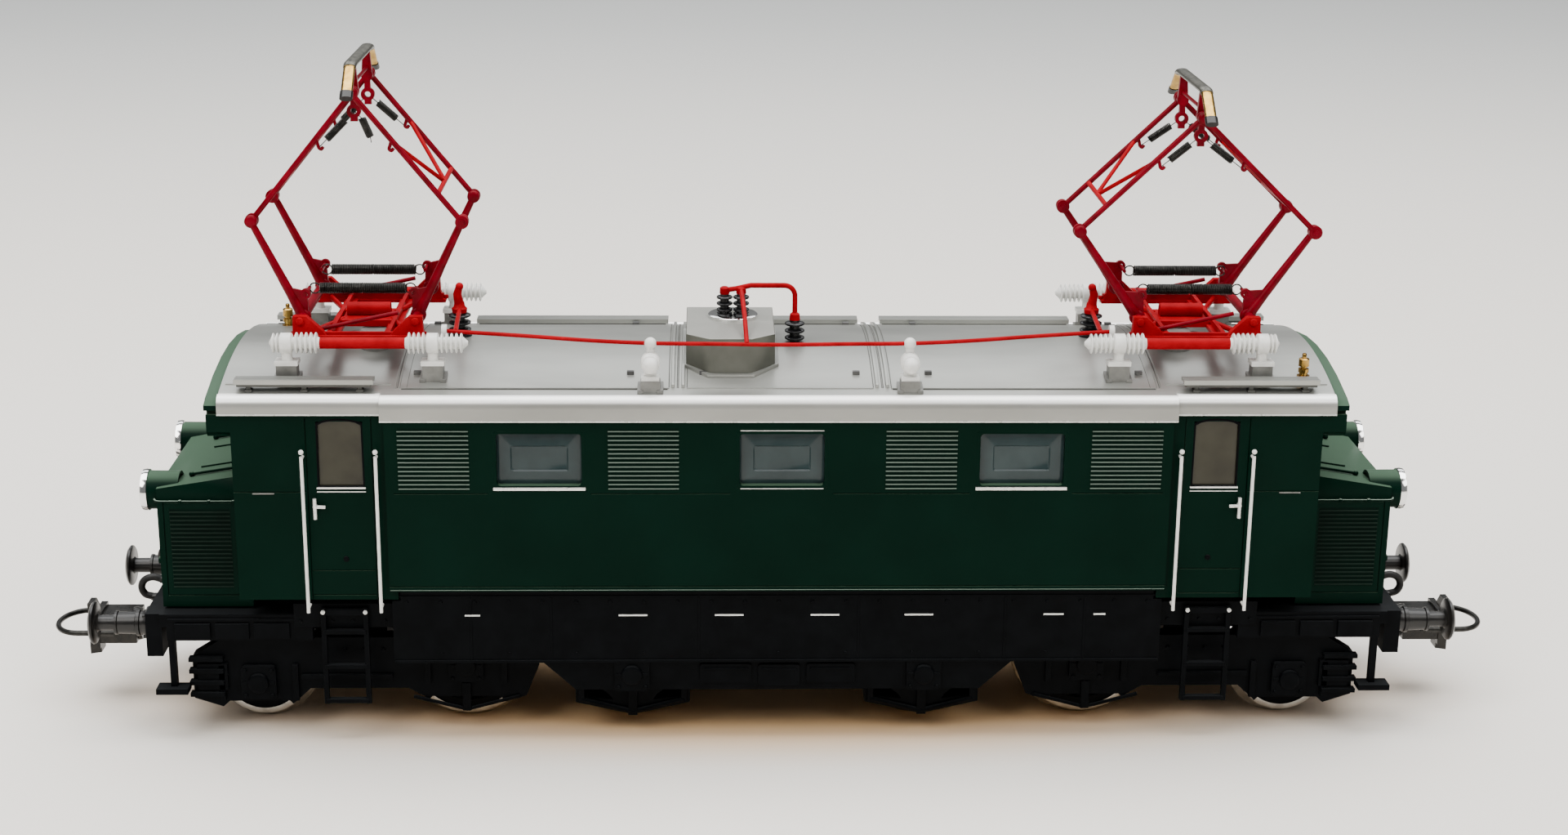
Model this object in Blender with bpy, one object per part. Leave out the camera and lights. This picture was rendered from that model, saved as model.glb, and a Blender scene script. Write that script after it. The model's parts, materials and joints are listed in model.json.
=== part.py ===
"""H0 scale (1:87) model of a twin-pantograph electric locomotive, an assembly of separate pieces.

The frame: X runs along the locomotive with cab 1 at -X, Y runs across it, and Z is up.
The origin lies under the middle of the model, on the surface that its wheel flanges stand on.
Shapes are worked out in millimetres, and publish() turns every finished piece into metres.
"""
import math

import bmesh
import bpy
from mathutils import Matrix, Vector

MM = 0.001

# Running gear
BACK_TO_BACK = 14.4
WHEEL_WIDTH = 2.8
AXLE_RADIUS = 1.0
AXLE_END = 11.4
DRIVE_FLANGE_RADIUS = 8.7
DRIVE_TREAD_RADIUS = 7.7
CARRY_FLANGE_RADIUS = 6.6
CARRY_TREAD_RADIUS = 5.7
FRAME_AXLE_X = 17.5
INNER_AXLE_X = 37.6
OUTER_AXLE_X = 62.5
BOGIE_PIVOT_X = 52.0
BOGIE_FRAME_Y = (10.6, 12.8)
BEARING_CLEARANCE = 0.12

# Drive line
SHAFT_Z = 26.0
MOTOR_HALF_LENGTH = 12.0
FLYWHEEL_RADIUS = 5.8
WORM_X = (40.0, 46.0)

# Body
MAIN_HALF_LENGTH = 45.8
MAIN_HALF_WIDTH = 17.6
MAIN_BOTTOM = 19.8
MAIN_TOP = 40.6
CAB_FRONT_X = 63.5
CAB_HALF_WIDTH = 16.9
CAB_BOTTOM = 18.6
CAB_TOP = 41.3
WALL = 1.4
SNOUT_FRONT_X = 73.4
SNOUT_HALF_WIDTH = 12.8
SNOUT_BOTTOM = 16.2
HOOD_FRONT_Z = 31.0
HOOD_CAB_Z = 32.6
VISOR_FRONT_X = 66.4
VISOR_BOTTOM = 38.6
WINDOW_Z = (32.6, 39.5)
WINDOW_CENTRES = (-28.0, 0.2, 28.2)
WINDOW_WIDTH = 10.5
DOOR_WINDOW_X = (48.3, 53.7)
DOOR_WINDOW_TOP = 40.5
FRONT_WINDOWS_Y = ((-12.6, -6.2), (-3.6, 3.6), (6.2, 12.6))
FRONT_WINDOW_BOTTOM = 34.4
LAMP_Y = 10.0
LAMP_Z = 30.0
LAMP_RADIUS = 2.2
LAMP_FRONT_X = 75.3

# Roof
ROOF_TOP = 46.0
ROOF_ARCH_RADIUS = 52.5
ROOF_THICKNESS = 1.2
ROOF_HALF_LENGTH = 64.8
ROOF_STEP_X = 46.2

# Ends
BUFFER_Y = 10.05
BUFFER_Z = 13.1
BUFFER_FACE_X = 83.0
BEAM_FACE_X = 75.4
COUPLER_PIVOT_X = 71.0
COUPLER_Z = 9.3
LOOP_HINGE_X = 81.5
LOOP_TIP_X = 89.8
LOOP_HALF_WIDTH = 4.3
LOOP_WIRE = 0.35

# Pantographs
PANTO_X = 49.3
PANTO_BASE_Z = 50.7
PANTO_PIVOT_X = 6.7
LOWER_ARM = 12.6
UPPER_ARM = 19.35
RAISED_ANGLE = {1: math.radians(64.0), 2: math.radians(55.0)}
ARM_OUTER_Y = 7.75
ARM_INNER_Y = 6.95
EYE_THICKNESS = 0.7
PIN_RADIUS = 0.35
PIN_HOLE = 0.47
INSULATOR_Y = 12.5
INSULATOR_Z = 48.7
CONDUCTOR_RADIUS = 0.33

COLOURS = {
    "body_green": ((0.010, 0.055, 0.030), 0.38, 0.0),
    "roof_silver": ((0.55, 0.56, 0.57), 0.35, 0.6),
    "frame_black": ((0.012, 0.013, 0.015), 0.50, 0.0),
    "die_cast": ((0.10, 0.10, 0.11), 0.45, 0.8),
    "wheel_metal": ((0.30, 0.29, 0.28), 0.30, 1.0),
    "motor_steel": ((0.45, 0.45, 0.46), 0.30, 1.0),
    "brass": ((0.60, 0.42, 0.14), 0.30, 1.0),
    "glazing": ((0.55, 0.60, 0.64), 0.08, 0.0),
    "clear_plastic": ((0.85, 0.86, 0.84), 0.06, 0.0),
    "board_green": ((0.02, 0.18, 0.07), 0.45, 0.0),
    "panto_red": ((0.62, 0.015, 0.012), 0.35, 0.0),
    "porcelain_white": ((0.78, 0.77, 0.74), 0.35, 0.0),
    "insulator_black": ((0.02, 0.02, 0.02), 0.35, 0.0),
    "wire_dark": ((0.08, 0.075, 0.07), 0.35, 1.0),
}


# ---------------------------------------------------------------- building blocks

def solid_from(bm):
    """Turns a bmesh in millimetres into a working object with its faces pointing out."""
    bmesh.ops.recalc_face_normals(bm, faces=bm.faces)
    mesh = bpy.data.meshes.new("solid")
    bm.to_mesh(mesh)
    bm.free()
    solid = bpy.data.objects.new("solid", mesh)
    bpy.context.scene.collection.objects.link(solid)
    return solid


def loft(rings):
    """Joins rings of equally many points, and closes both ends."""
    bm = bmesh.new()
    loops = [[bm.verts.new(point) for point in ring] for ring in rings]
    count = len(loops[0])
    for first, second in zip(loops, loops[1:]):
        for i in range(count):
            j = (i + 1) % count
            bm.faces.new((first[i], first[j], second[j], second[i]))
    bm.faces.new(loops[0])
    bm.faces.new(loops[-1])
    return solid_from(bm)


def prism(outline, axis, span):
    """Extrudes a flat outline along X (outline in Y, Z), Y (in X, Z) or Z (in X, Y)."""
    def lift(a, b, level):
        return {"X": (level, a, b), "Y": (a, level, b), "Z": (a, b, level)}[axis]
    return loft([[lift(a, b, level) for a, b in outline] for level in span])


def block(x, y, z):
    return prism([(x[0], y[0]), (x[1], y[0]), (x[1], y[1]), (x[0], y[1])], "Z", z)


def turned(profile, axis, centre, sides=12):
    """Spins a profile of (distance along the axis, radius) about an axis through centre.

    The first corner of each ring points straight down where the axis is level.
    """
    along, down, side = {
        "X": (Vector((1, 0, 0)), Vector((0, 0, -1)), Vector((0, 1, 0))),
        "Y": (Vector((0, 1, 0)), Vector((0, 0, -1)), Vector((1, 0, 0))),
        "Z": (Vector((0, 0, 1)), Vector((1, 0, 0)), Vector((0, 1, 0))),
    }[axis]
    rings = []
    for distance, radius in profile:
        ring = []
        for i in range(sides):
            turn = 2 * math.pi * i / sides
            spoke = down * math.cos(turn) + side * math.sin(turn)
            ring.append(Vector(centre) + along * distance + spoke * radius)
        rings.append(ring)
    return loft(rings)


def rod(start, end, radius, sides=6, end_radius=None):
    """A straight round bar between two points, tapering to end_radius where one is given."""
    start, end = Vector(start), Vector(end)
    turn = (end - start).to_track_quat("Z", "Y").to_matrix()
    rings = []
    for centre, size in ((start, radius), (end, end_radius or radius)):
        angles = [2 * math.pi * i / sides for i in range(sides)]
        rings.append([centre + turn @ Vector((size * math.cos(a), size * math.sin(a), 0)) for a in angles])
    return loft(rings)


def wire(points, radius, sides=6):
    """A round wire through the points, with each ring square to the bend."""
    points = [Vector(point) for point in points]
    normal = None
    rings = []
    for i, point in enumerate(points):
        ahead = points[min(i + 1, len(points) - 1)] - point
        behind = point - points[max(i - 1, 0)]
        along = (ahead.normalized() + behind.normalized()).normalized()
        if normal is None:
            normal = along.orthogonal().normalized()
        normal = (normal - along * normal.dot(along)).normalized()
        across = along.cross(normal)
        angles = [2 * math.pi * k / sides for k in range(sides)]
        rings.append([point + (normal * math.cos(a) + across * math.sin(a)) * radius for a in angles])
    return loft(rings)


def combine(base, tools, operation):
    """Applies a Boolean with each tool to the base, and removes the tools."""
    for tool in tools:
        step = base.modifiers.new(operation.lower(), "BOOLEAN")
        step.operation = operation
        step.solver = "EXACT"
        step.object = tool
    depsgraph = bpy.context.evaluated_depsgraph_get()
    mesh = bpy.data.meshes.new_from_object(base.evaluated_get(depsgraph))
    base.modifiers.clear()
    base.data = mesh
    for tool in tools:
        bpy.data.objects.remove(tool)
    return base


def fuse(*solids):
    return combine(solids[0], solids[1:], "UNION")


def carve(base, *cutters):
    return combine(base, cutters, "DIFFERENCE")


def mirrored(y):
    """A span across the locomotive, on its -Y side."""
    return (-y[1], -y[0])


def along_x(x, end):
    """A span along the locomotive, at end 1 (-X) or end 2 (+X)."""
    return (x[0], x[1]) if end == 2 else (-x[1], -x[0])


def end_sign(end):
    return 1 if end == 2 else -1


def material(name):
    """The Principled material of that name, made the first time it is asked for."""
    found = bpy.data.materials.get(name)
    if found:
        return found
    colour, roughness, metallic = COLOURS[name]
    made = bpy.data.materials.new(name)
    made.use_nodes = True
    shader = made.node_tree.nodes["Principled BSDF"]
    shader.inputs["Base Color"].default_value = (*colour, 1.0)
    shader.inputs["Roughness"].default_value = roughness
    shader.inputs["Metallic"].default_value = metallic
    return made


def publish(solid, name, finish, pivot=(0, 0, 0)):
    """Names a finished piece, and sets it in metres with its origin on its joint's axis."""
    solid.name = name
    solid.data.name = name
    pivot = Vector(pivot)
    solid.data.transform(Matrix.Scale(MM, 4) @ Matrix.Translation(-pivot))
    solid.location = pivot * MM
    solid.data.materials.clear()
    solid.data.materials.append(material(finish))
    solid.data.shade_smooth()
    solid.data.set_sharp_from_angle(angle=math.radians(30))
    return solid


# ---------------------------------------------------------------- body and roof

def roof_height(y):
    """The roof's upper surface, an arch across the locomotive."""
    return ROOF_TOP - y * y / (2 * ROOF_ARCH_RADIUS)


def hood_height(x):
    """The hood's upper surface, which rises gently from the snout's front to the cab wall."""
    slope = (HOOD_CAB_Z - HOOD_FRONT_Z) / (SNOUT_FRONT_X - CAB_FRONT_X)
    return HOOD_FRONT_Z + slope * (SNOUT_FRONT_X - x)


def snout(end, half_width, back_x, front_x, bottom, lower_by=0.0):
    """The box of one snout under its sloped hood; lower_by sinks the hood for the hollow inside."""
    front_z, back_z = hood_height(front_x) - lower_by, hood_height(back_x) - lower_by
    sign = end_sign(end)
    outline = [(sign * back_x, bottom), (sign * front_x, bottom), (sign * front_x, front_z), (sign * back_x, back_z)]
    return prism(outline, "Y", (-half_width, half_width))


def visor(end):
    """The dark green peak over the cab windows, which closes the end of the roof."""
    arch = [(y, roof_height(y) - 0.7) for y in (15.6, 10.4, 5.2, 0.0, -5.2, -10.4, -15.6)]
    half = CAB_HALF_WIDTH
    upper = [(half, 41.8), (half, 42.4)] + arch + [(-half, 42.4), (-half, 41.8)]
    right = [(half - 0.6, VISOR_BOTTOM), (half, VISOR_BOTTOM + 0.6), (half, CAB_TOP), (16.2, CAB_TOP),
             (16.2, 41.9), (15.0, 42.3)]
    lower = right + [(-y, z) for y, z in reversed(right)]
    back = prism(lower, "X", along_x((CAB_FRONT_X - 0.6, VISOR_FRONT_X - 0.2), end))
    front = prism(upper, "X", along_x((ROOF_HALF_LENGTH + 0.15, VISOR_FRONT_X), end))
    return fuse(front, back)


def body_shell():
    """The green body: side walls, cab fronts, snouts, lamp barrels and visors, open below and above."""
    half_widths = (-MAIN_HALF_WIDTH, MAIN_HALF_WIDTH)
    main = block((-MAIN_HALF_LENGTH, MAIN_HALF_LENGTH), half_widths, (MAIN_BOTTOM, MAIN_TOP))
    solids = []
    for end in (1, 2):
        cab_x = along_x((MAIN_HALF_LENGTH - 0.9, CAB_FRONT_X), end)
        solids.append(block(cab_x, (-CAB_HALF_WIDTH, CAB_HALF_WIDTH), (CAB_BOTTOM, CAB_TOP)))
        solids.append(snout(end, SNOUT_HALF_WIDTH, CAB_FRONT_X - 0.8, SNOUT_FRONT_X, SNOUT_BOTTOM))
        solids.append(visor(end))
        for y in (-LAMP_Y, LAMP_Y):
            barrel = along_x((SNOUT_FRONT_X - 2.2, LAMP_FRONT_X), end)
            solids.append(turned([(x, LAMP_RADIUS) for x in barrel], "X", (0, y, LAMP_Z), 16))
    shell = fuse(main, *solids)
    below, above = 5.0, 60.0
    inner_main = MAIN_HALF_WIDTH - WALL
    inner_cab = CAB_HALF_WIDTH - WALL
    cutters = [block((WALL - MAIN_HALF_LENGTH, MAIN_HALF_LENGTH - WALL), (-inner_main, inner_main), (below, above))]
    for end in (1, 2):
        inner_x = along_x((MAIN_HALF_LENGTH - 2.0, CAB_FRONT_X - 1.2), end)
        cutters.append(block(inner_x, (-inner_cab, inner_cab), (below, above)))
        cutters.append(snout(end, SNOUT_HALF_WIDTH - 1.2, CAB_FRONT_X - 2.0, SNOUT_FRONT_X - 1.2, below, 1.0))
        door_x = along_x(DOOR_WINDOW_X, end)
        cutters.append(block(door_x, (-20.0, 20.0), (WINDOW_Z[0], DOOR_WINDOW_TOP)))
        front_x = along_x((CAB_FRONT_X - 1.9, CAB_FRONT_X + 0.7), end)
        for y in FRONT_WINDOWS_Y:
            cutters.append(block(front_x, y, (FRONT_WINDOW_BOTTOM, VISOR_BOTTOM - 0.4)))
        for y in (-LAMP_Y, LAMP_Y):
            mouth = along_x((LAMP_FRONT_X - 1.4, LAMP_FRONT_X + 1.0), end)
            cutters.append(turned([(x, 1.85) for x in mouth], "X", (0, y, LAMP_Z), 16))
            guide = along_x((SNOUT_FRONT_X - 2.4, LAMP_FRONT_X - 1.2), end)
            cutters.append(turned([(x, 0.85) for x in guide], "X", (0, y, LAMP_Z - 0.6), 8))
    for centre in WINDOW_CENTRES:
        window_x = (centre - WINDOW_WIDTH / 2, centre + WINDOW_WIDTH / 2)
        cutters.append(block(window_x, (-20.0, 20.0), WINDOW_Z))
    return publish(carve(shell, *cutters), "body_shell", "body_green")


def roof_section(x, half_width, bottom):
    """One ring of the roof: rounded gutter sides and the arch, with the same curve inside."""
    outer = [(half_width, bottom), (half_width, 42.4), (half_width - 0.5, 43.3), (half_width - 1.6, 43.75)]
    reach = half_width - 2.0
    outer += [(reach * (1 - k / 4), roof_height(reach * (1 - k / 4))) for k in range(9)]
    outer += [(-half_width + 1.6, 43.75), (-half_width + 0.5, 43.3), (-half_width, 42.4), (-half_width, bottom)]
    inside = half_width - 1.05
    inner_reach = half_width - 2.6
    inner = [(-inside, bottom), (-inside, 42.0)]
    heights = [inner_reach * (k / 3 - 1) for k in range(7)]
    inner += [(y, roof_height(y) - ROOF_THICKNESS) for y in heights]
    inner += [(inside, 42.0), (inside, bottom)]
    return [(x, y, z) for y, z in outer + inner]


def walkway(x, y, legs):
    """A footboard on short legs that stand on the roof."""
    board_z = 44.75
    board = block(x, y, (board_z, board_z + 0.4))
    middle = (y[0] + y[1]) / 2
    feet = []
    for k in range(legs):
        leg_x = x[0] + (x[1] - x[0]) * (k + 0.5) / legs
        feet.append(block((leg_x - 0.3, leg_x + 0.3), (middle - 0.35, middle + 0.35), (43.2, board_z + 0.1)))
    return [board] + feet


def roof_shell():
    """The silver roof, with the footboards along its edges."""
    main, cab = (18.0, 40.7), (17.6, 41.4)
    stations = [(-ROOF_HALF_LENGTH, cab), (-ROOF_STEP_X - 0.1, cab), (-ROOF_STEP_X, main),
                (ROOF_STEP_X, main), (ROOF_STEP_X + 0.1, cab), (ROOF_HALF_LENGTH, cab)]
    roof = loft([roof_section(x, *shape) for x, shape in stations])
    boards = []
    for end in (1, 2):
        for side in ((-16.0, -14.2), (14.2, 16.0)):
            boards += walkway(along_x((46.8, 63.2), end), side, 3)
    for x in ((-37.6, -13.4), (-10.6, 10.6), (13.4, 37.6)):
        boards += walkway(x, (12.4, 14.4), 4)
    return publish(fuse(roof, *boards), "roof_shell", "roof_silver")


def side_glazing(name, y):
    """The clear strip behind the machine-room windows of one side."""
    publish(block((-36.0, 36.0), y, (31.4, 40.4)), name, "glazing")


def cab_glazing(end):
    """The clear cab insert: a front pane and the two door panes behind it."""
    inner = CAB_HALF_WIDTH - WALL - 0.15
    panes_z = (31.6, 41.1)
    front = block(along_x((61.2, CAB_FRONT_X - 1.3), end), (-inner, inner), (33.4, 41.1))
    sides = [block(along_x((47.0, 61.8), end), y, panes_z)
             for y in ((inner - 0.8, inner), (-inner, 0.8 - inner))]
    publish(fuse(front, *sides), f"cab_{end}_glazing", "glazing")


def headlight_guide(end):
    """One clear moulding: two lamp lenses on rods that meet on a bar inside the snout."""
    bar = block(along_x((68.4, 69.9), end), (-LAMP_Y - 0.8, LAMP_Y + 0.8), (28.6, 29.9))
    pieces = []
    for y in (-LAMP_Y, LAMP_Y):
        stem = along_x((69.5, LAMP_FRONT_X - 0.9), end)
        pieces.append(turned([(x, 0.6) for x in stem], "X", (0, y, LAMP_Z - 0.6), 8))
        lens = [(LAMP_FRONT_X - 1.2, 1.7), (LAMP_FRONT_X - 0.45, 1.7), (LAMP_FRONT_X - 0.15, 1.0)]
        profile = [(end_sign(end) * x, radius) for x, radius in lens]
        pieces.append(turned(profile, "X", (0, y, LAMP_Z), 12))
    publish(fuse(bar, *pieces), f"headlight_guide_{end}", "clear_plastic")


# ---------------------------------------------------------------- chassis and drive

def chassis_frame():
    """The die-cast frame inside the body, with the motor well, bogie openings and board posts."""
    plate = block((-60.5, 60.5), (-12.8, 12.8), (18.0, 21.6))
    posts = [turned([(21.2, 1.3), (34.9, 1.1)], "Z", (x, y, 0), 10) for x in (-26.0, 26.0) for y in (-10.5, 10.5)]
    frame = fuse(plate, *posts)
    cutters = [block((-22.9, 22.9), (-8.3, 8.3), (10.0, 30.0))]
    for end in (1, 2):
        cutters.append(block(along_x((32.5, 49.5), end), (-7.5, 7.5), (10.0, 30.0)))
        pivot_x = end_sign(end) * BOGIE_PIVOT_X
        cutters.append(turned([(10.0, 1.62), (30.0, 1.62)], "Z", (pivot_x, 0, 0), 16))
    publish(carve(frame, *cutters), "chassis_frame", "die_cast")


def underframe_side(y_sign):
    """One side of the underframe: sill, equipment band, and the hangers of the frame axles."""
    def across(y):
        return y if y_sign > 0 else mirrored(y)
    right = [(45.7, 10.6), (45.7, CAB_BOTTOM - 0.3), (44.7, CAB_BOTTOM - 0.3), (44.7, MAIN_BOTTOM - 0.3)]
    sill = prism(right + [(-x, z) for x, z in reversed(right)], "Y", across((15.4, 16.6)))
    band = [(-28.6, 10.6), (-24.2, 6.6), (24.2, 6.6), (28.6, 10.6), (28.6, 15.2), (-28.6, 15.2)]
    solids = [sill, prism(band, "Y", across((13.2, 15.9)))]
    for x in (-FRAME_AXLE_X, FRAME_AXLE_X):
        hanger = [(x - 6.9, 4.0), (x, 2.4), (x + 6.9, 4.0), (x + 6.9, 6.0), (x + 4.4, 7.6), (x + 4.4, 13.0),
                  (x - 4.4, 13.0), (x - 4.4, 7.6), (x - 6.9, 6.0)]
        solids.append(prism(hanger, "Y", across((10.7, 13.6))))
    for end in (1, 2):
        solids.append(block(along_x((44.3, 45.65), end), across((13.4, 15.6)), (14.6, 17.5)))
        solids.append(block(along_x((44.4, 57.6), end), across((13.45, 15.1)), (14.4, 17.4)))
        solids.append(block(along_x((55.5, 72.8), end), across((13.3, 14.75)), (12.6, 15.85)))
        solids.append(block(along_x((72.0, 72.75), end), across((13.5, 14.5)), (6.3, 12.9)))
        solids.append(block(along_x((70.6, 74.4), end), across((13.2, 15.4)), (5.9, 6.6)))
    return solids


def underframe():
    """The black underframe: centre box, both sides, end floors, steps, buffer beams and coupler pins."""
    centre = block((-7.4, 7.4), (-15.6, 15.6), (8.0, 17.6))
    solids = underframe_side(1) + underframe_side(-1)
    for end in (1, 2):
        solids.append(block(along_x((57.0, 73.6), end), (-14.7, 14.7), (14.3, 15.9)))
        solids.append(block(along_x((73.5, BEAM_FACE_X), end), (-14.2, 14.2), (10.4, 15.8)))
        pin_x = end_sign(end) * COUPLER_PIVOT_X
        solids.append(turned([(7.6, 1.0), (14.6, 1.0)], "Z", (pin_x, 0, 0), 12))
    frame = fuse(centre, *solids)
    hole = AXLE_RADIUS + BEARING_CLEARANCE
    cutters = []
    for x in (-FRAME_AXLE_X, FRAME_AXLE_X):
        for y in ((10.2, AXLE_END + 0.3), (-AXLE_END - 0.3, -10.2)):
            cutters.append(turned([(y[0], hole), (y[1], hole)], "Y", (x, 0, DRIVE_FLANGE_RADIUS), 12))
    publish(carve(frame, *cutters), "underframe", "frame_black")


def motor():
    """The can motor, bored through for its rotor shaft."""
    outline = [(-7.5, 22.6), (-4.6, 19.4), (4.6, 19.4), (7.5, 22.6), (7.5, 29.4), (4.6, 32.6), (-4.6, 32.6),
               (-7.5, 29.4)]
    can = prism(outline, "X", (-MOTOR_HALF_LENGTH, MOTOR_HALF_LENGTH))
    collars = [turned([(x, 2.6), (x + 1.6, 2.6)], "X", (0, 0, SHAFT_Z), 12) for x in (-13.2, 11.6)]
    bore = turned([(-20.0, 0.9), (20.0, 0.9)], "X", (0, 0, SHAFT_Z), 12)
    publish(carve(fuse(can, *collars), bore), "motor", "motor_steel")


def motor_rotor():
    """The rotor shaft with a flywheel at each end."""
    half = [(14.2, 0.75), (14.2, FLYWHEEL_RADIUS), (20.8, FLYWHEEL_RADIUS), (20.8, 0.75), (23.2, 0.75)]
    profile = [(-x, radius) for x, radius in reversed(half)] + half
    publish(turned(profile, "X", (0, 0, SHAFT_Z), 20), "motor_rotor", "brass", (0, 0, SHAFT_Z))


def cardan_shaft(end):
    """A shaft with a ball at each end, between the flywheel and the worm."""
    sign = end_sign(end)
    half = [(23.6, 0.7), (24.1, 1.3), (25.1, 1.3), (25.6, 0.8), (35.6, 0.8), (36.1, 1.3), (37.1, 1.3), (37.6, 0.7)]
    profile = [(sign * x, radius) for x, radius in half]
    pivot = (sign * 30.6, 0, SHAFT_Z)
    publish(turned(profile, "X", (0, 0, SHAFT_Z), 10), f"cardan_shaft_{end}", "insulator_black", pivot)


def worm(end):
    """The worm in the bogie's gearbox, with thread lands turned as rings."""
    sign = end_sign(end)
    profile = [(38.2, 0.6), (WORM_X[0], 0.6)]
    for k in range(4):
        start = WORM_X[0] + 0.3 + 1.45 * k
        profile += [(start, 1.4), (start + 0.5, 2.0), (start + 1.0, 1.4)]
    profile += [(WORM_X[1], 0.6), (48.0, 0.6)]
    profile = [(sign * x, radius) for x, radius in profile]
    pivot = (sign * 43.0, 0, SHAFT_Z)
    publish(turned(profile, "X", (0, 0, SHAFT_Z), 10), f"worm_{end}", "brass", pivot)


def circuit_board():
    """The circuit board over the motor, with its decoder socket and smoothing parts."""
    board = block((-31.0, 31.0), (-11.8, 11.8), (35.1, 36.3))
    parts = [block((-24.0, -4.0), (-6.0, 6.0), (36.2, 38.6)), block((4.0, 15.0), (-7.5, 2.5), (36.2, 37.9)),
             block((19.0, 25.0), (-4.0, 4.0), (36.2, 38.0))]
    publish(fuse(board, *parts), "circuit_board", "board_green")


# ---------------------------------------------------------------- bogies, wheels and couplings

def wheelset(name, x, tread, flange, gear_radius, sides=16):
    """Two wheels on one axle, with the gear of a driven axle between them."""
    back = BACK_TO_BACK / 2
    face = back + WHEEL_WIDTH
    half = []
    if gear_radius:
        half += [(1.5, gear_radius), (1.5, AXLE_RADIUS)]
    half += [(back, AXLE_RADIUS), (back, flange), (back + 0.6, flange - 0.2), (back + 0.95, tread),
             (face, tread - 0.15), (face, AXLE_RADIUS), (AXLE_END, AXLE_RADIUS)]
    profile = [(-y, radius) for y, radius in reversed(half)] + half
    centre = (x, 0, flange)
    publish(turned(profile, "Y", centre, sides), name, "wheel_metal", centre)


def bogie_frame(end):
    """A bogie: side frames with axle boxes, the bolster with its pivot pin, and the gearbox tower."""
    sign = end_sign(end)
    side = [(28.8, 8.6), (30.4, 4.6), (34.6, 3.2), (40.6, 3.2), (44.6, 5.6), (56.4, 5.6), (59.4, 2.8), (65.6, 2.8),
            (70.4, 4.4), (70.4, 9.8), (66.6, 12.2), (46.0, 12.2), (30.4, 12.2), (28.8, 11.2)]
    outline = [(sign * x, z) for x, z in side]
    solids = [prism(outline, "Y", y) for y in (BOGIE_FRAME_Y, mirrored(BOGIE_FRAME_Y))]
    bolster = block(along_x((47.2, 55.2), end), (-11.0, 11.0), (10.2, 15.9))
    solids.append(block(along_x((38.6, 48.6), end), (-3.3, 3.3), (15.3, 28.6)))
    pivot_x = sign * BOGIE_PIVOT_X
    solids.append(turned([(15.5, 3.0), (17.6, 3.0), (17.6, 1.5), (21.8, 1.5)], "Z", (pivot_x, 0, 0), 16))
    for x, z in ((INNER_AXLE_X, DRIVE_FLANGE_RADIUS), (OUTER_AXLE_X, CARRY_FLANGE_RADIUS)):
        for y in ((12.6, 13.3), (-13.3, -12.6)):
            box_x = along_x((x - 1.9, x + 1.9), end)
            solids.append(block(box_x, y, (z - 2.0, z + 2.0)))
    frame = fuse(bolster, *solids)
    hole = AXLE_RADIUS + BEARING_CLEARANCE
    cutters = [block(along_x((39.6, 46.5), end), (-2.35, 2.35), (23.5, 30.0)),
               block(along_x((38.0, 49.4), end), (-0.75, 0.75), (25.2, 30.0))]
    for x, z in ((INNER_AXLE_X, DRIVE_FLANGE_RADIUS), (OUTER_AXLE_X, CARRY_FLANGE_RADIUS)):
        for y in ((10.0, AXLE_END + 0.3), (-AXLE_END - 0.3, -10.0)):
            cutters.append(turned([(y[0], hole), (y[1], hole)], "Y", (sign * x, 0, z), 12))
    publish(carve(frame, *cutters), f"bogie_{end}_frame", "frame_black", (pivot_x, 0, 0))


def buffer(name, end, y):
    """A buffer: foot flange, sleeve, plunger and a head with a flat middle."""
    half = [(BEAM_FACE_X + 0.1, 2.0), (BEAM_FACE_X + 0.7, 2.0), (BEAM_FACE_X + 0.7, 1.45), (79.6, 1.3),
            (79.6, 0.95), (82.1, 0.95), (82.1, 2.45), (82.5, 2.6), (BUFFER_FACE_X, 1.6)]
    profile = [(end_sign(end) * x, radius) for x, radius in half]
    publish(turned(profile, "X", (0, y, BUFFER_Z), 14), name, "frame_black")


def ladder(name, end, y):
    """The steps under a cab door: two stiles and three treads."""
    low, high = along_x((48.7, 54.3), end)
    stiles = [block((x, x + 0.6), y, (4.9, 17.0)) for x in (low, high - 0.6)]
    treads = [block((low + 0.3, high - 0.3), (y[0] - 0.1, y[1] + 0.1), (z, z + 0.5)) for z in (5.0, 9.4, 13.8)]
    tie = block((low + 0.3, high - 0.3), y, (16.2, 16.9))
    publish(fuse(tie, *stiles, *treads), name, "frame_black")


def coupler_head(end):
    """The coupler: a drawbar with a pivot eye, and a head with its centre horn and hinge bore."""
    sign = end_sign(end)
    drawbar = block(along_x((71.6, 80.2), end), (-1.5, 1.5), (COUPLER_Z - 0.9, COUPLER_Z + 0.7))
    eye = turned([(COUPLER_Z - 0.9, 2.0), (COUPLER_Z + 0.7, 2.0)], "Z", (sign * COUPLER_PIVOT_X, 0, 0), 14)
    head = block(along_x((79.4, 84.4), end), (-2.6, 2.6), (COUPLER_Z - 1.9, COUPLER_Z + 1.3))
    horn_x = [(84.2, 5.6), (85.6, 5.4), (85.6, 12.1), (84.9, 12.1), (84.2, 10.4)]
    horn = prism([(sign * x, z) for x, z in horn_x], "Y", (-1.1, 1.1))
    body = fuse(drawbar, eye, head, horn)
    pin = turned([(0.0, 1.14), (20.0, 1.14)], "Z", (sign * COUPLER_PIVOT_X, 0, 0), 14)
    bore = turned([(-5.0, LOOP_WIRE + 0.12), (5.0, LOOP_WIRE + 0.12)], "Y", (sign * LOOP_HINGE_X, 0, COUPLER_Z), 10)
    pivot = (sign * COUPLER_PIVOT_X, 0, COUPLER_Z)
    publish(carve(body, pin, bore), f"coupler_head_{end}", "frame_black", pivot)


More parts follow.
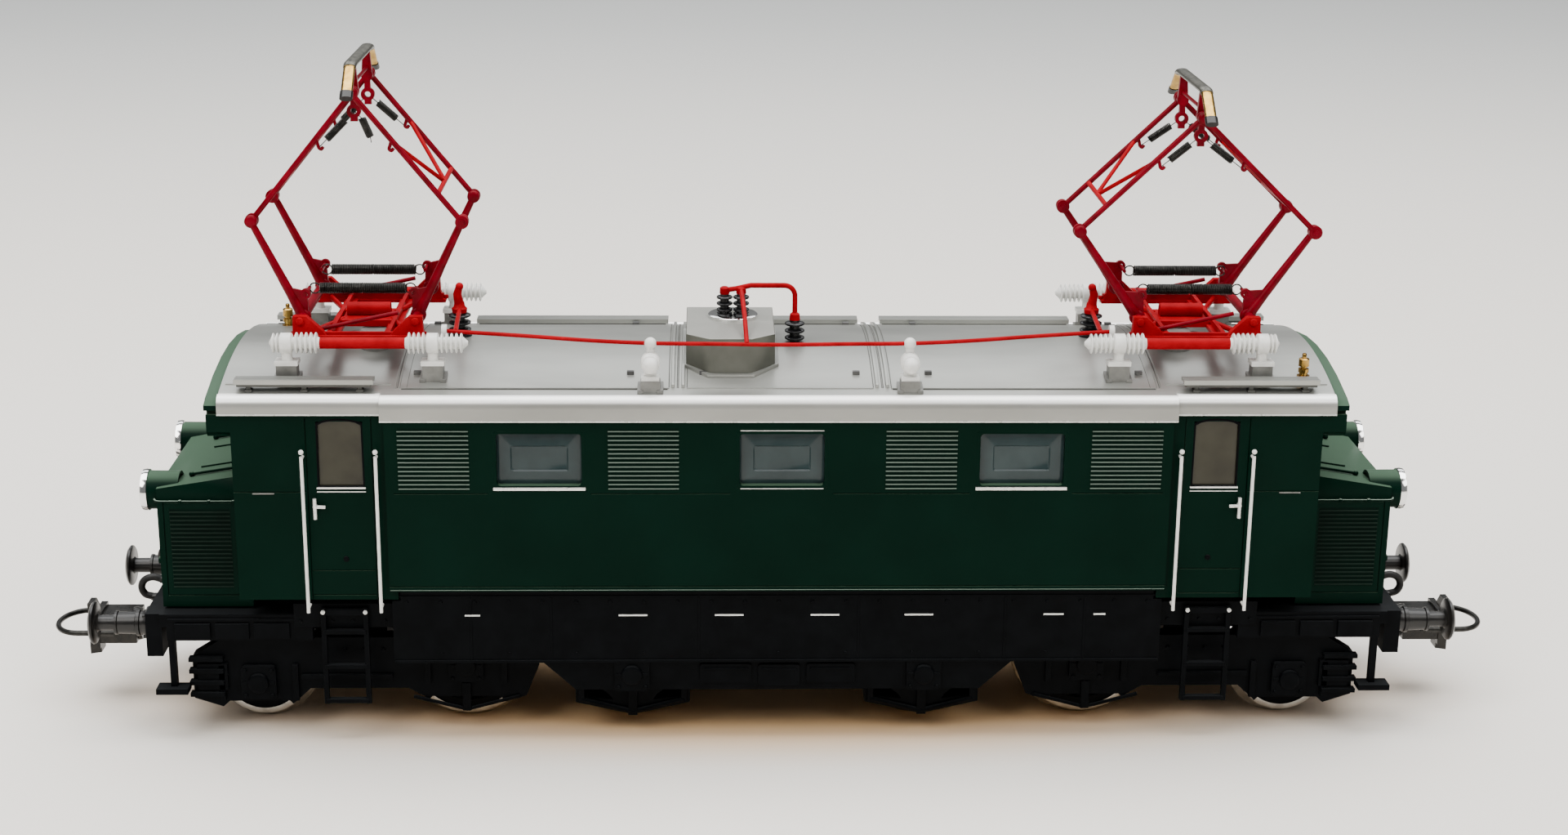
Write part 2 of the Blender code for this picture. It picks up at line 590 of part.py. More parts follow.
def coupler_loop(end):
    """The wire loop that drops over the next coupler's horn, with its hinge wire through the head."""
    sign = end_sign(end)
    radius = LOOP_HALF_WIDTH
    centre_x = LOOP_TIP_X - LOOP_WIRE - radius
    points = [(LOOP_HINGE_X, -radius)]
    points += [(centre_x + radius * math.sin(a), -radius * math.cos(a))
               for a in [math.pi * k / 10 for k in range(11)]]
    points.append((LOOP_HINGE_X, radius))
    loop = wire([(sign * x, y, COUPLER_Z) for x, y in points], LOOP_WIRE)
    hinge = rod((sign * LOOP_HINGE_X, -radius - 0.2, COUPLER_Z), (sign * LOOP_HINGE_X, radius + 0.2, COUPLER_Z),
                LOOP_WIRE - 0.02)
    pivot = (sign * LOOP_HINGE_X, 0, COUPLER_Z)
    publish(fuse(loop, hinge), f"coupler_loop_{end}", "wire_dark", pivot)


# ---------------------------------------------------------------- roof equipment

def transformer_cover():
    """The box on the roof, its near corners cut off, whose foot follows the roof's arch."""
    outline = [(-11.0, 3.4), (-11.0, -9.7), (-8.2, -12.0), (-3.3, -12.0), (-0.5, -9.7), (-0.5, 3.4)]
    box = prism(outline, "Z", (44.0, 49.1))
    arch = [(y, roof_height(y) + 0.08) for y in (-14.0, -11.0, -8.0, -5.0, -2.0, 1.0, 5.0)]
    below = prism(arch + [(5.0, 40.0), (-14.0, 40.0)], "X", (-14.0, 3.0))
    publish(carve(box, below), "transformer_cover", "roof_silver")


def ribbed(x, y, bottom, top, core, rib, ribs):
    """A standing insulator: a core with evenly spaced ribs."""
    pitch = (top - bottom) / ribs
    profile = []
    for k in range(ribs):
        start = bottom + pitch * k
        profile += [(start, core), (start + pitch * 0.5, rib)]
    profile.append((top, core))
    return turned(profile, "Z", (x, y, 0), 10)


def bushing_pair():
    """Two black bushings on the ring on top of the transformer cover."""
    ring = turned([(49.2, 3.1), (49.6, 3.0)], "Z", (-5.4, -1.3, 0), 16)
    posts = [ribbed(x, -1.3, 49.5, 51.9, 0.55, 0.9, 3) for x in (-6.4, -4.4)]
    publish(fuse(ring, *posts), "bushing_pair", "insulator_black")


def roof_conductor():
    """The red high-voltage wire, with its arch, its dropper and the black post it lands on."""
    level = 48.9
    run = [(-39.2, -9.6, 49.4), (-30.0, -11.4, 49.3), (-22.0, -12.8, 49.1), (-15.1, -13.6, level + 0.1),
           (-8.0, -13.5, level), (0.0, -13.5, level - 0.1), (8.0, -13.5, level), (15.1, -13.6, level + 0.1),
           (22.0, -12.8, 49.1), (30.0, -11.4, 49.3), (39.2, -9.6, 49.4)]
    dropper = [(-4.4, -1.3, 52.3), (-4.1, -7.0, 50.9), (-3.9, -13.5, level)]
    arch = [(-6.6, -1.3, 52.3), (-5.5, -1.3, 52.4), (-4.4, -1.3, 52.5), (-3.3, -1.3, 52.9), (0.6, -1.3, 52.9),
            (1.7, -1.3, 52.4), (2.1, -1.3, 51.4), (2.1, -1.3, 48.4)]
    post = ribbed(2.1, -1.3, 46.15, 48.7, 0.6, 1.1, 3)
    pieces = [wire(dropper, CONDUCTOR_RADIUS), wire(arch, CONDUCTOR_RADIUS), post]
    publish(fuse(wire(run, CONDUCTOR_RADIUS), *pieces), "roof_conductor", "panto_red")


def sloped_foot(x, half_x, y, half_y, top):
    """A saddle on the roof whose underside slopes with the arch."""
    lift = 0.1
    low, high = y - half_y, y + half_y
    outline = [(low, roof_height(low) + lift), (high, roof_height(high) + lift), (high, top), (low, top)]
    return prism(outline, "X", (x - half_x, x + half_x))


def standoff_insulator(end):
    """A white insulator on a saddle that carries the roof conductor beside it."""
    x, y = end_sign(end) * 15.1, -14.9
    foot = sloped_foot(x, 1.3, y, 1.0, 45.4)
    post = ribbed(x, y, 45.2, 48.6, 0.6, 1.0, 3)
    knob = turned([(48.4, 0.5), (48.7, 0.8), (49.3, 0.8), (49.6, 0.4)], "Z", (x, y, 0), 10)
    publish(fuse(foot, post, knob), f"standoff_insulator_{end}", "porcelain_white")


def disconnector(end):
    """The black post with its red switch lever, at the inner end of each pantograph."""
    x, y = end_sign(end) * 38.6, 1.4
    post = ribbed(x, y, roof_height(y) + 0.15, 48.9, 0.6, 1.2, 3)
    lever = rod((x, y, 48.6), (x, y - 0.4, 52.6), 0.75, 8, 0.45)
    publish(fuse(post, lever), f"disconnector_{end}", "insulator_black")


def insulator_rail(end, side):
    """Two level insulators in line, joined by the tube that carries one side of the pantograph."""
    sign = end_sign(end)
    centre = sign * PANTO_X
    y = side * INSULATOR_Y

    def ribs(start, stop, count):
        pitch = (stop - start) / count
        points = []
        for k in range(count):
            low = start + pitch * k
            points += [(low, 1.0), (low + pitch * 0.5, 1.45)]
        return points + [(stop, 1.0)]
    profile = [(-12.8, 0.5)] + ribs(-12.2, -5.0, 4) + [(-5.0, 0.55), (3.7, 0.55)] + ribs(3.7, 8.6, 3) + [(9.2, 0.5)]
    profile = [(centre + sign * x, radius) for x, radius in profile]
    pieces = []
    for offset in (-8.9, 8.0):
        x = centre + sign * offset
        pieces.append(sloped_foot(x, 1.3, y, 1.2, 46.3))
        pieces.append(turned([(46.1, 0.8), (48.5, 0.7)], "Z", (x, y, 0), 8))
    name = f"pantograph_{end}_insulators_{'front' if side < 0 else 'rear'}"
    publish(fuse(turned(profile, "X", (0, y, INSULATOR_Z), 8), *pieces), name, "porcelain_white")


# ---------------------------------------------------------------- pantographs

class Linkage:
    """Where the pivots of one pantograph stand at its rest height."""

    def __init__(self, end):
        self.centre = end_sign(end) * PANTO_X
        angle = RAISED_ANGLE[end]
        reach = PANTO_PIVOT_X + LOWER_ARM * math.cos(angle)
        self.knee_z = PANTO_BASE_Z + LOWER_ARM * math.sin(angle)
        self.apex_z = self.knee_z + math.sqrt(UPPER_ARM ** 2 - reach ** 2)
        self.reach = reach

    def pivot(self, arm):
        return Vector((self.centre + arm * PANTO_PIVOT_X, 0, PANTO_BASE_Z))

    def knee(self, arm):
        return Vector((self.centre + arm * self.reach, 0, self.knee_z))

    def apex(self):
        return Vector((self.centre, 0, self.apex_z))


def moved(point, y):
    return Vector((point.x, y, point.z))


def eye(point, y, radius, sides=8):
    """A flat round eye of an arm, square to Y."""
    profile = [(y - EYE_THICKNESS / 2, radius), (y + EYE_THICKNESS / 2, radius)]
    return turned(profile, "Y", (point.x, 0, point.z), sides)


def pin(point, y_low, y_high, radius=PIN_RADIUS):
    return turned([(y_low, radius), (y_high, radius)], "Y", (point.x, 0, point.z), 6)


def pantograph_base(end):
    """The red base frame: side beams, cross beams and four bearings for the lower shafts."""
    sign = end_sign(end)
    centre = sign * PANTO_X
    beams = []
    for y in ((9.2, 10.9), (-10.9, -9.2)):
        beams.append(block((centre - 8.2, centre + 8.2), y, (48.1, 49.3)))
    for x in (-4.2, 2.6):
        beams.append(block((centre + x, centre + x + 1.6), (-10.0, 10.0), (48.2, 49.2)))
    for x in (-PANTO_PIVOT_X, PANTO_PIVOT_X):
        for y in ((9.3, 10.4), (-10.4, -9.3)):
            beams.append(block((centre + x - 1.1, centre + x + 1.1), y, (49.0, 51.9)))
    frame = fuse(*beams)
    bores = [turned([(-20.0, 0.75), (20.0, 0.75)], "Y", (centre + x, 0, PANTO_BASE_Z), 12)
             for x in (-PANTO_PIVOT_X, PANTO_PIVOT_X)]
    publish(carve(frame, *bores), f"pantograph_{end}_base", "panto_red")


def lower_arm(end, arm, letter):
    """A lower arm frame: its shaft, two tapered legs, spring lugs and the knee pins."""
    link = Linkage(end)
    pivot, knee = link.pivot(arm), link.knee(arm)
    leg_y, upper_y = (ARM_OUTER_Y, ARM_INNER_Y) if arm < 0 else (ARM_INNER_Y, ARM_OUTER_Y)
    shaft = pin(pivot, -9.9, 9.9, 0.62)
    pieces = []
    lug = pivot + Vector((-arm * 1.5, 0, 3.2))
    for side in (-1, 1):
        y = side * leg_y
        pieces.append(rod(moved(pivot, y), moved(knee, y), 0.68, 6, 0.42))
        pieces.append(eye(pivot, y, 1.15))
        pieces.append(eye(knee, y, 0.85))
        low, high = sorted((side * (upper_y - 0.55), side * (leg_y)) if leg_y > upper_y
                           else (side * leg_y, side * (upper_y + 0.55)))
        pieces.append(pin(knee, low, high))
        foot = moved(pivot, y) + Vector((0, 0, 0.2))
        pieces.append(rod(foot, moved(lug, y), 0.5, 6, 0.35))
    publish(fuse(shaft, *pieces), f"pantograph_{end}_lower_arm_{letter}", "panto_red", pivot)


def upper_arm(end, arm, letter):
    """An upper arm frame: two rods, the cross tube by the knees and the V brace, with its eyes."""
    link = Linkage(end)
    knee, apex = link.knee(arm), link.apex()
    y_level = ARM_INNER_Y if arm < 0 else ARM_OUTER_Y
    cross, brace_top = knee.lerp(apex, 0.22), knee.lerp(apex, 0.60)
    bar = rod(moved(cross, -y_level), moved(cross, y_level), 0.33)
    pieces = []
    for side in (-1, 1):
        y = side * y_level
        pieces.append(rod(moved(knee, y), moved(apex, y), 0.38))
        pieces.append(rod(moved(cross, side * 0.2), moved(brace_top, side * (y_level - 0.1)), 0.30))
        pieces.append(eye(knee, y, 0.85))
        pieces.append(eye(apex, y, 0.8))
    frame = fuse(bar, *pieces)
    holes = [pin(knee, -20.0, 20.0, PIN_HOLE)]
    if arm < 0:
        holes.append(pin(apex, -20.0, 20.0, PIN_HOLE))
    publish(carve(frame, *holes), f"pantograph_{end}_upper_arm_{letter}", "panto_red", knee)


def pantograph_head(end):
    """The collector: a strip with bent-down horns on two carriers, whose pins turn in the first upper arm."""
    apex = Linkage(end).apex()
    strip_z = apex.z + 3.0
    flat, tip, drop, thick = 7.4, 11.0, 2.7, 0.55
    top = [(-tip, strip_z - drop), (-flat - 1.4, strip_z - 0.8), (-flat, strip_z), (flat, strip_z),
           (flat + 1.4, strip_z - 0.8), (tip, strip_z - drop)]
    under = [(y, z + thick) for y, z in reversed(top)]
    strip = prism(top + under, "X", (apex.x - 1.0, apex.x + 1.0))
    pieces = []
    for side in (-1, 1):
        y_low, y_high = sorted((side * 5.7, side * 6.4))
        post = [(apex.x - 0.45, apex.z - 3.6), (apex.x + 0.45, apex.z - 3.6), (apex.x + 0.45, strip_z + 0.2),
                (apex.x - 0.45, strip_z + 0.2)]
        pieces.append(prism(post, "Y", (y_low, y_high)))
        ring = Vector((apex.x, 0, apex.z - 2.3))
        pieces.append(turned([(y_low + 0.05, 0.8), (y_high - 0.05, 0.8)], "Y", ring, 10))
        low, high = sorted((side * 6.0, side * 7.3))
        pieces.append(pin(apex, low, high))
    publish(fuse(strip, *pieces), f"pantograph_{end}_head", "wire_dark", apex)


# ---------------------------------------------------------------- the assembly

def clear_scene():
    for old in list(bpy.data.objects):
        bpy.data.objects.remove(old)


def build():
    clear_scene()
    body_shell()
    roof_shell()
    inner = MAIN_HALF_WIDTH - WALL - 0.1
    side_glazing("side_glazing_front", (-inner, 0.8 - inner))
    side_glazing("side_glazing_rear", (inner - 0.8, inner))
    chassis_frame()
    underframe()
    motor()
    motor_rotor()
    circuit_board()
    transformer_cover()
    bushing_pair()
    roof_conductor()
    for end in (1, 2):
        sign = end_sign(end)
        cab_glazing(end)
        headlight_guide(end)
        cardan_shaft(end)
        worm(end)
        bogie_frame(end)
        wheelset(f"frame_wheelset_{end}", sign * FRAME_AXLE_X, DRIVE_TREAD_RADIUS, DRIVE_FLANGE_RADIUS, 0.0)
        wheelset(f"driven_wheelset_{end}", sign * INNER_AXLE_X, DRIVE_TREAD_RADIUS, DRIVE_FLANGE_RADIUS, 5.0)
        wheelset(f"carrying_wheelset_{end}", sign * OUTER_AXLE_X, CARRY_TREAD_RADIUS, CARRY_FLANGE_RADIUS, 0.0)
        for side, word in ((-1, "front"), (1, "rear")):
            buffer(f"buffer_{end}_{word}", end, side * BUFFER_Y)
            steps_y = (15.3, 15.9) if side > 0 else (-15.9, -15.3)
            ladder(f"ladder_{end}_{word}", end, steps_y)
            insulator_rail(end, side)
        coupler_head(end)
        coupler_loop(end)
        standoff_insulator(end)
        disconnector(end)
        pantograph_base(end)
        for arm, letter in ((-1, "a"), (1, "b")):
            lower_arm(end, arm, letter)
            upper_arm(end, arm, letter)
        pantograph_head(end)


build()
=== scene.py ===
"""The looks of the H0 scale electric locomotive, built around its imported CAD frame.

Shapes are worked out in millimetres in the frame's axes: X runs along the locomotive with cab 1
at -X, Y runs across it with the seen side at -Y, and Z is up from the lowest points of the flanges.
"""
import json
import math

import bmesh
import bpy
from mathutils import Matrix, Vector


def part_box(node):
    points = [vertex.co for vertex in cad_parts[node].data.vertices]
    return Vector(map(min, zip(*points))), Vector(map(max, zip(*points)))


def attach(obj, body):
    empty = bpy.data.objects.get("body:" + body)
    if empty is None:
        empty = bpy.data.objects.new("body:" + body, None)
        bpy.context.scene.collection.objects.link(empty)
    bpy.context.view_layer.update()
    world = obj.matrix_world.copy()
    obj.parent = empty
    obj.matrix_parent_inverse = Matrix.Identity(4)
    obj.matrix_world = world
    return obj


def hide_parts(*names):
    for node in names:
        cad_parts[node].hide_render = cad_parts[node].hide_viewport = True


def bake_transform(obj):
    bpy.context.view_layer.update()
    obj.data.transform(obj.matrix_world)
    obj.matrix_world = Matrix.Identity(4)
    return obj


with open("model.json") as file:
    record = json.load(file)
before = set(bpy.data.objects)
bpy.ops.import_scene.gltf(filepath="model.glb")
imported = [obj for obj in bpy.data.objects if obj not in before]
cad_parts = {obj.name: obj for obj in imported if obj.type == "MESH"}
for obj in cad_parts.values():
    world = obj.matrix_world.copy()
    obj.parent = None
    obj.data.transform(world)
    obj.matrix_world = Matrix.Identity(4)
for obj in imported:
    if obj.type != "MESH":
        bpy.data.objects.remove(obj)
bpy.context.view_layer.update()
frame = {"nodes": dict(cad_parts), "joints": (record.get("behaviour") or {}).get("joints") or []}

MM = 0.001
ENDS = ((1, -1), (2, 1))
SIDES = (("front", -1), ("rear", 1))
PIVOT = {joint["name"]: Vector(joint["pos_m"]) / MM for joint in frame["joints"]}


def box_of(node):
    """The lowest and highest corners of a CAD node, in millimetres."""
    low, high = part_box(node)
    return low / MM, high / MM


ROOF_LOW, ROOF_HIGH = box_of("roof_shell")
WALL_Y = box_of("body_shell")[1].y
ROOF_TOP = ROOF_HIGH.z
ROOF_END = ROOF_HIGH.x

# Body
CAB_WALL_Y = 16.9
MAIN_END = 45.8
CAB_FRONT = 63.5
SNOUT_FRONT = 73.4
SNOUT_Y = 12.8
SEAM_Z = 32.0
LOUVRE_Z = (32.4, 39.9)
LOUVRES_X = ((-44.3, -36.1), (-20.0, -11.8), (12.3, 20.6), (36.3, 44.6))
LOUVRE_SLATS = 14
SNOUT_LOUVRE = ((64.9, 72.0), (18.6, 28.5))
SNOUT_SLATS = 19
WINDOWS_X = (-28.0, 0.2, 28.2)
WINDOW_HALF = 5.25
WINDOW_Z = (32.6, 39.5)
DOOR_X = (47.3, 54.9)
DOOR_PANE_X = (48.3, 53.7)
DOOR_PANE_Z = (32.6, 40.5)
RAIL_X = (46.8, 55.3)
RAIL_Z = (17.4, 36.6)
RAIL_Y = 18.05
SNOUT_PANEL = ((64.2, 72.6), (17.6, 29.2))
SNOUT_RAIL_Z = 29.55
SEAM_WIDTH, SEAM_DEPTH = 0.14, 0.16
FOOT_SEAM_Z = 20.35
LAMP_Y, LAMP_Z = 10.0, 30.0

# Roof
ROOF_ARCH_RADIUS = 52.5
ROOF_STEP = 46.2
RIB_X, END_RIB_X = (11.3, 12.5), (44.15, 44.62)
SHADE_STRIP_X = (10.85, 11.85, 12.0, 12.95, 44.38)
HATCH_X = 49.0
LONG_SEAM = ((14.75, 14.95), (43.6, 43.98))
BOARD_Z = 44.75
GUTTER_Y = 16.15
RUN_Y, RUN_Z = -13.5, 48.9
STANDOFF_Z = 46.9
LEAD_X, LEAD_Y, LEAD_Z = 39.2, -9.6, 49.4

# Pantographs
SPRING_Y = 4.85
ARM_Y = {"a": (7.75, 6.95), "b": (6.95, 7.75)}
INSULATOR_Y, INSULATOR_Z = 12.5, 48.7
INSULATOR_SHIFT = {1: 0.0, 2: 0.6}
HEAD_RISE = 3.0
RING_DROP = 2.3
CARRIER_Y = 6.05

# Underframe
AXLE_X = 17.5
SILL_Y, BAND_Y = 16.6, 15.9
BEAM_X = 75.3


# ---------------------------------------------------------------- materials

def finish(name, dark, light, roughness, metallic=0.0, patch=3.0, grain=0.08, bump=0.15,
           specular=0.5, stretch=(1.0, 1.0, 1.0)):
    """A surface whose tone drifts over patches, with a fine grain in its gloss and height."""
    made = bpy.data.materials.new(name)
    made.use_nodes = True
    nodes, links = made.node_tree.nodes, made.node_tree.links
    shader = nodes["Principled BSDF"]
    place = nodes.new("ShaderNodeTexCoord")
    mapping = nodes.new("ShaderNodeMapping")
    mapping.inputs["Scale"].default_value = stretch
    links.new(place.outputs["Object"], mapping.inputs["Vector"])
    drift = nodes.new("ShaderNodeTexNoise")
    drift.inputs["Scale"].default_value = 1.0 / (patch * MM)
    drift.inputs["Detail"].default_value = 4.0
    ramp = nodes.new("ShaderNodeValToRGB")
    ramp.color_ramp.elements[0].position = 0.3
    ramp.color_ramp.elements[0].color = (*dark, 1.0)
    ramp.color_ramp.elements[1].position = 0.7
    ramp.color_ramp.elements[1].color = (*light, 1.0)
    fine = nodes.new("ShaderNodeTexNoise")
    fine.inputs["Scale"].default_value = 1.0 / (grain * MM)
    fine.inputs["Detail"].default_value = 2.0
    gloss = nodes.new("ShaderNodeMapRange")
    gloss.inputs["To Min"].default_value = roughness * 0.82
    gloss.inputs["To Max"].default_value = roughness * 1.18
    relief = nodes.new("ShaderNodeBump")
    relief.inputs["Strength"].default_value = bump
    relief.inputs["Distance"].default_value = grain * MM * 0.25
    for noise in (drift, fine):
        links.new(mapping.outputs["Vector"], noise.inputs["Vector"])
    links.new(drift.outputs["Fac"], ramp.inputs["Fac"])
    links.new(ramp.outputs["Color"], shader.inputs["Base Color"])
    links.new(drift.outputs["Fac"], gloss.inputs["Value"])
    links.new(gloss.outputs["Result"], shader.inputs["Roughness"])
    links.new(fine.outputs["Fac"], relief.inputs["Height"])
    links.new(relief.outputs["Normal"], shader.inputs["Normal"])
    shader.inputs["Metallic"].default_value = metallic
    shader.inputs["Specular IOR Level"].default_value = specular
    return made


def painted_top_light(made, tone, start=0.55, stop=0.97):
    """Lays a paler, duller tone over the faces of a finish that look up: painted light from above, a painted
    highlight on their tops.
    """
    nodes, links = made.node_tree.nodes, made.node_tree.links
    shader = nodes["Principled BSDF"]
    colour = shader.inputs["Base Color"].links[0].from_socket
    normal = nodes.new("ShaderNodeNewGeometry")
    split = nodes.new("ShaderNodeSeparateXYZ")
    cover = nodes.new("ShaderNodeMapRange")
    cover.interpolation_type = "SMOOTHSTEP"
    cover.inputs["From Min"].default_value, cover.inputs["From Max"].default_value = start, stop
    mix = nodes.new("ShaderNodeMix")
    mix.data_type = "RGBA"
    mix.inputs["B"].default_value = (*tone, 1.0)
    links.new(normal.outputs["Normal"], split.inputs["Vector"])
    links.new(split.outputs["Z"], cover.inputs["Value"])
    links.new(cover.outputs["Result"], mix.inputs["Factor"])
    links.new(colour, mix.inputs["A"])
    links.new(mix.outputs["Result"], shader.inputs["Base Color"])
    return made


def clear(name, dark, light, transmission, roughness):
    """A clear or tinted moulding with faint waviness."""
    made = finish(name, dark, light, roughness, patch=5.0, grain=1.6, bump=0.05, specular=0.26)
    shader = made.node_tree.nodes["Principled BSDF"]
    shader.inputs["Transmission Weight"].default_value = transmission
    shader.inputs["IOR"].default_value = 1.49
    return made


# Body green; the paler green on up-facing faces is a painted highlight of the light from above, on the hood
# tops and other tops.
GREEN = painted_top_light(finish("green_paint", (0.0002, 0.0078, 0.0042), (0.0005, 0.0105, 0.0060), 0.36,
                      patch=9.0, grain=0.12, bump=0.10, specular=0.03), (0.050, 0.090, 0.058))
# Louvre green; the pale tone on up-facing faces is a painted highlight, which lights the slat lips, the
# wall-foot lips and the snout handrails.
LOUVRE_GREEN = painted_top_light(finish("louvre_paint", (0.0004, 0.0065, 0.0038), (0.0008, 0.009, 0.0052), 0.40,
                             patch=2.0, grain=0.08, specular=0.03), (0.20, 0.26, 0.21), 0.55, 0.80)
# Snout panel green; the slightly paler tone on up-facing faces is painted light from above on the snout
# louvres.
PANEL_GREEN = painted_top_light(finish("panel_paint", (0.0003, 0.0050, 0.0030), (0.0006, 0.0075, 0.0045), 0.42,
                            patch=2.0, grain=0.08, specular=0.03), (0.020, 0.034, 0.025), 0.50, 0.75)
SILVER = finish("silver_paint", (0.30, 0.305, 0.285), (0.38, 0.385, 0.36), 0.34, 0.70, patch=7.0,
                grain=0.09, bump=0.20, stretch=(0.35, 1.0, 1.0))
# The gutter beads: a darker silver than the roof as painted shade on the bead's lower half, and a near-white
# tone on faces that look up as a painted highlight.
GUTTER = painted_top_light(finish("gutter_painted_highlight_and_shade", (0.24, 0.24, 0.22), (0.31, 0.31, 0.29), 0.34, 0.35, patch=6.0,
                       grain=0.09, bump=0.15, stretch=(0.35, 1.0, 1.0)), (0.86, 0.86, 0.84), 0.35, 0.62)
# Roof box grey; the pale tone on its up-facing faces is painted light from above on its top.
BOX_GREY = painted_top_light(finish("box_silver", (0.065, 0.068, 0.055), (0.105, 0.108, 0.090), 0.36, 0.35, patch=3.0,
                         grain=0.08), (0.30, 0.30, 0.275), 0.80, 0.97)
# Dark grey of painted shade: strips beside the roof ribs, and the posts and stringers under the footboards.
PAINTED_SHADE = finish("seam_shadow", (0.05, 0.05, 0.045), (0.09, 0.09, 0.08), 0.6, 0.2, patch=1.5, grain=0.08)
SADDLE = finish("saddle_grey", (0.13, 0.13, 0.12), (0.21, 0.21, 0.195), 0.42, 0.3, patch=1.2, grain=0.07)
TRIM = finish("bright_trim", (0.66, 0.66, 0.63), (0.78, 0.78, 0.75), 0.28, 0.5, patch=1.5, grain=0.06)
# Black moulding; the faintly paler tone on its up-facing faces is painted light from above.
BLACK = painted_top_light(finish("black_moulding", (0.0008, 0.0011, 0.0015), (0.0022, 0.0027, 0.0034), 0.46,
                      patch=2.2, grain=0.10, bump=0.22, specular=0.035), (0.012, 0.013, 0.014))
SATIN = finish("satin_black", (0.004, 0.004, 0.004), (0.011, 0.010, 0.009), 0.30, patch=1.4,
               grain=0.07, bump=0.15, specular=0.35)
TYRE = finish("tyre_steel", (0.30, 0.29, 0.27), (0.46, 0.45, 0.42), 0.24, 1.0, patch=1.2, grain=0.05)
RED = finish("signal_red", (0.23, 0.0002, 0.004), (0.33, 0.0006, 0.007), 0.36, patch=2.0, grain=0.08,
             bump=0.12, specular=0.03)
DEEP_RED = finish("arm_red", (0.095, 0.0003, 0.004), (0.185, 0.0008, 0.009), 0.34, patch=1.6,
                  grain=0.07, bump=0.12, specular=0.06)
WHITE = finish("white_porcelain", (0.66, 0.66, 0.63), (0.80, 0.80, 0.77), 0.34, patch=1.1,
               grain=0.06)
RAIL_WHITE = finish("rail_white", (0.72, 0.72, 0.68), (0.84, 0.84, 0.81), 0.36, patch=0.9, grain=0.05)
RIB_BLACK = finish("black_porcelain", (0.004, 0.004, 0.0045), (0.012, 0.012, 0.013), 0.26,
                   patch=0.8, grain=0.05, specular=0.3)
BRASS = finish("turned_brass", (0.32, 0.18, 0.035), (0.52, 0.33, 0.09), 0.24, 1.0, patch=0.7,
               grain=0.04)
CHROME = finish("bright_chrome", (0.80, 0.80, 0.79), (0.92, 0.92, 0.91), 0.12, 1.0, patch=1.0,
                grain=0.05, bump=0.05)
SPRING = finish("spring_steel", (0.010, 0.010, 0.009), (0.035, 0.034, 0.031), 0.36, 0.85,
                patch=0.6, grain=0.04)
GUNMETAL = finish("gunmetal", (0.004, 0.004, 0.0035), (0.017, 0.015, 0.012), 0.28, 0.55, patch=0.9,
                  grain=0.06)
PAN = finish("worn_contact_strip", (0.04, 0.039, 0.032), (0.19, 0.185, 0.155), 0.36, 0.80,
             patch=0.45, grain=0.07, bump=0.5)
RUBBER = finish("hose_rubber", (0.006, 0.006, 0.006), (0.016, 0.015, 0.014), 0.5, patch=0.8,
                grain=0.06, bump=0.25, specular=0.3)
CASTING = finish("die_casting", (0.09, 0.09, 0.09), (0.16, 0.16, 0.155), 0.46, 0.8, patch=1.8,
                 grain=0.12, bump=0.35)
MOTOR = finish("motor_can", (0.38, 0.38, 0.38), (0.52, 0.52, 0.51), 0.30, 1.0, patch=2.4,
               grain=0.07, stretch=(1.0, 4.0, 4.0))
BOARD = finish("circuit_laminate", (0.012, 0.13, 0.045), (0.020, 0.20, 0.075), 0.42, patch=1.6,
               grain=0.10)
GLAZING = clear("window_glazing", (0.012, 0.024, 0.026), (0.026, 0.044, 0.046), 0.1, 0.16)
DOOR_GLAZING = clear("door_glazing", (0.016, 0.014, 0.006), (0.038, 0.035, 0.020), 0.1, 0.22)
LENS = clear("lamp_lens", (0.62, 0.63, 0.58), (0.74, 0.75, 0.71), 0.80, 0.06)


# ---------------------------------------------------------------- shapes

def turns(steps):
    """Equal angles once round."""
    return [2 * math.pi * k / steps for k in range(steps)]


def lifted(axis, a, b, level):
    """A point of an outline, raised to its level along the axis."""
    return {"X": (level, a, b), "Y": (a, level, b), "Z": (a, b, level)}[axis]


def about(middle, half):
    """A span to both sides of its middle."""
    return (middle - half, middle + half)


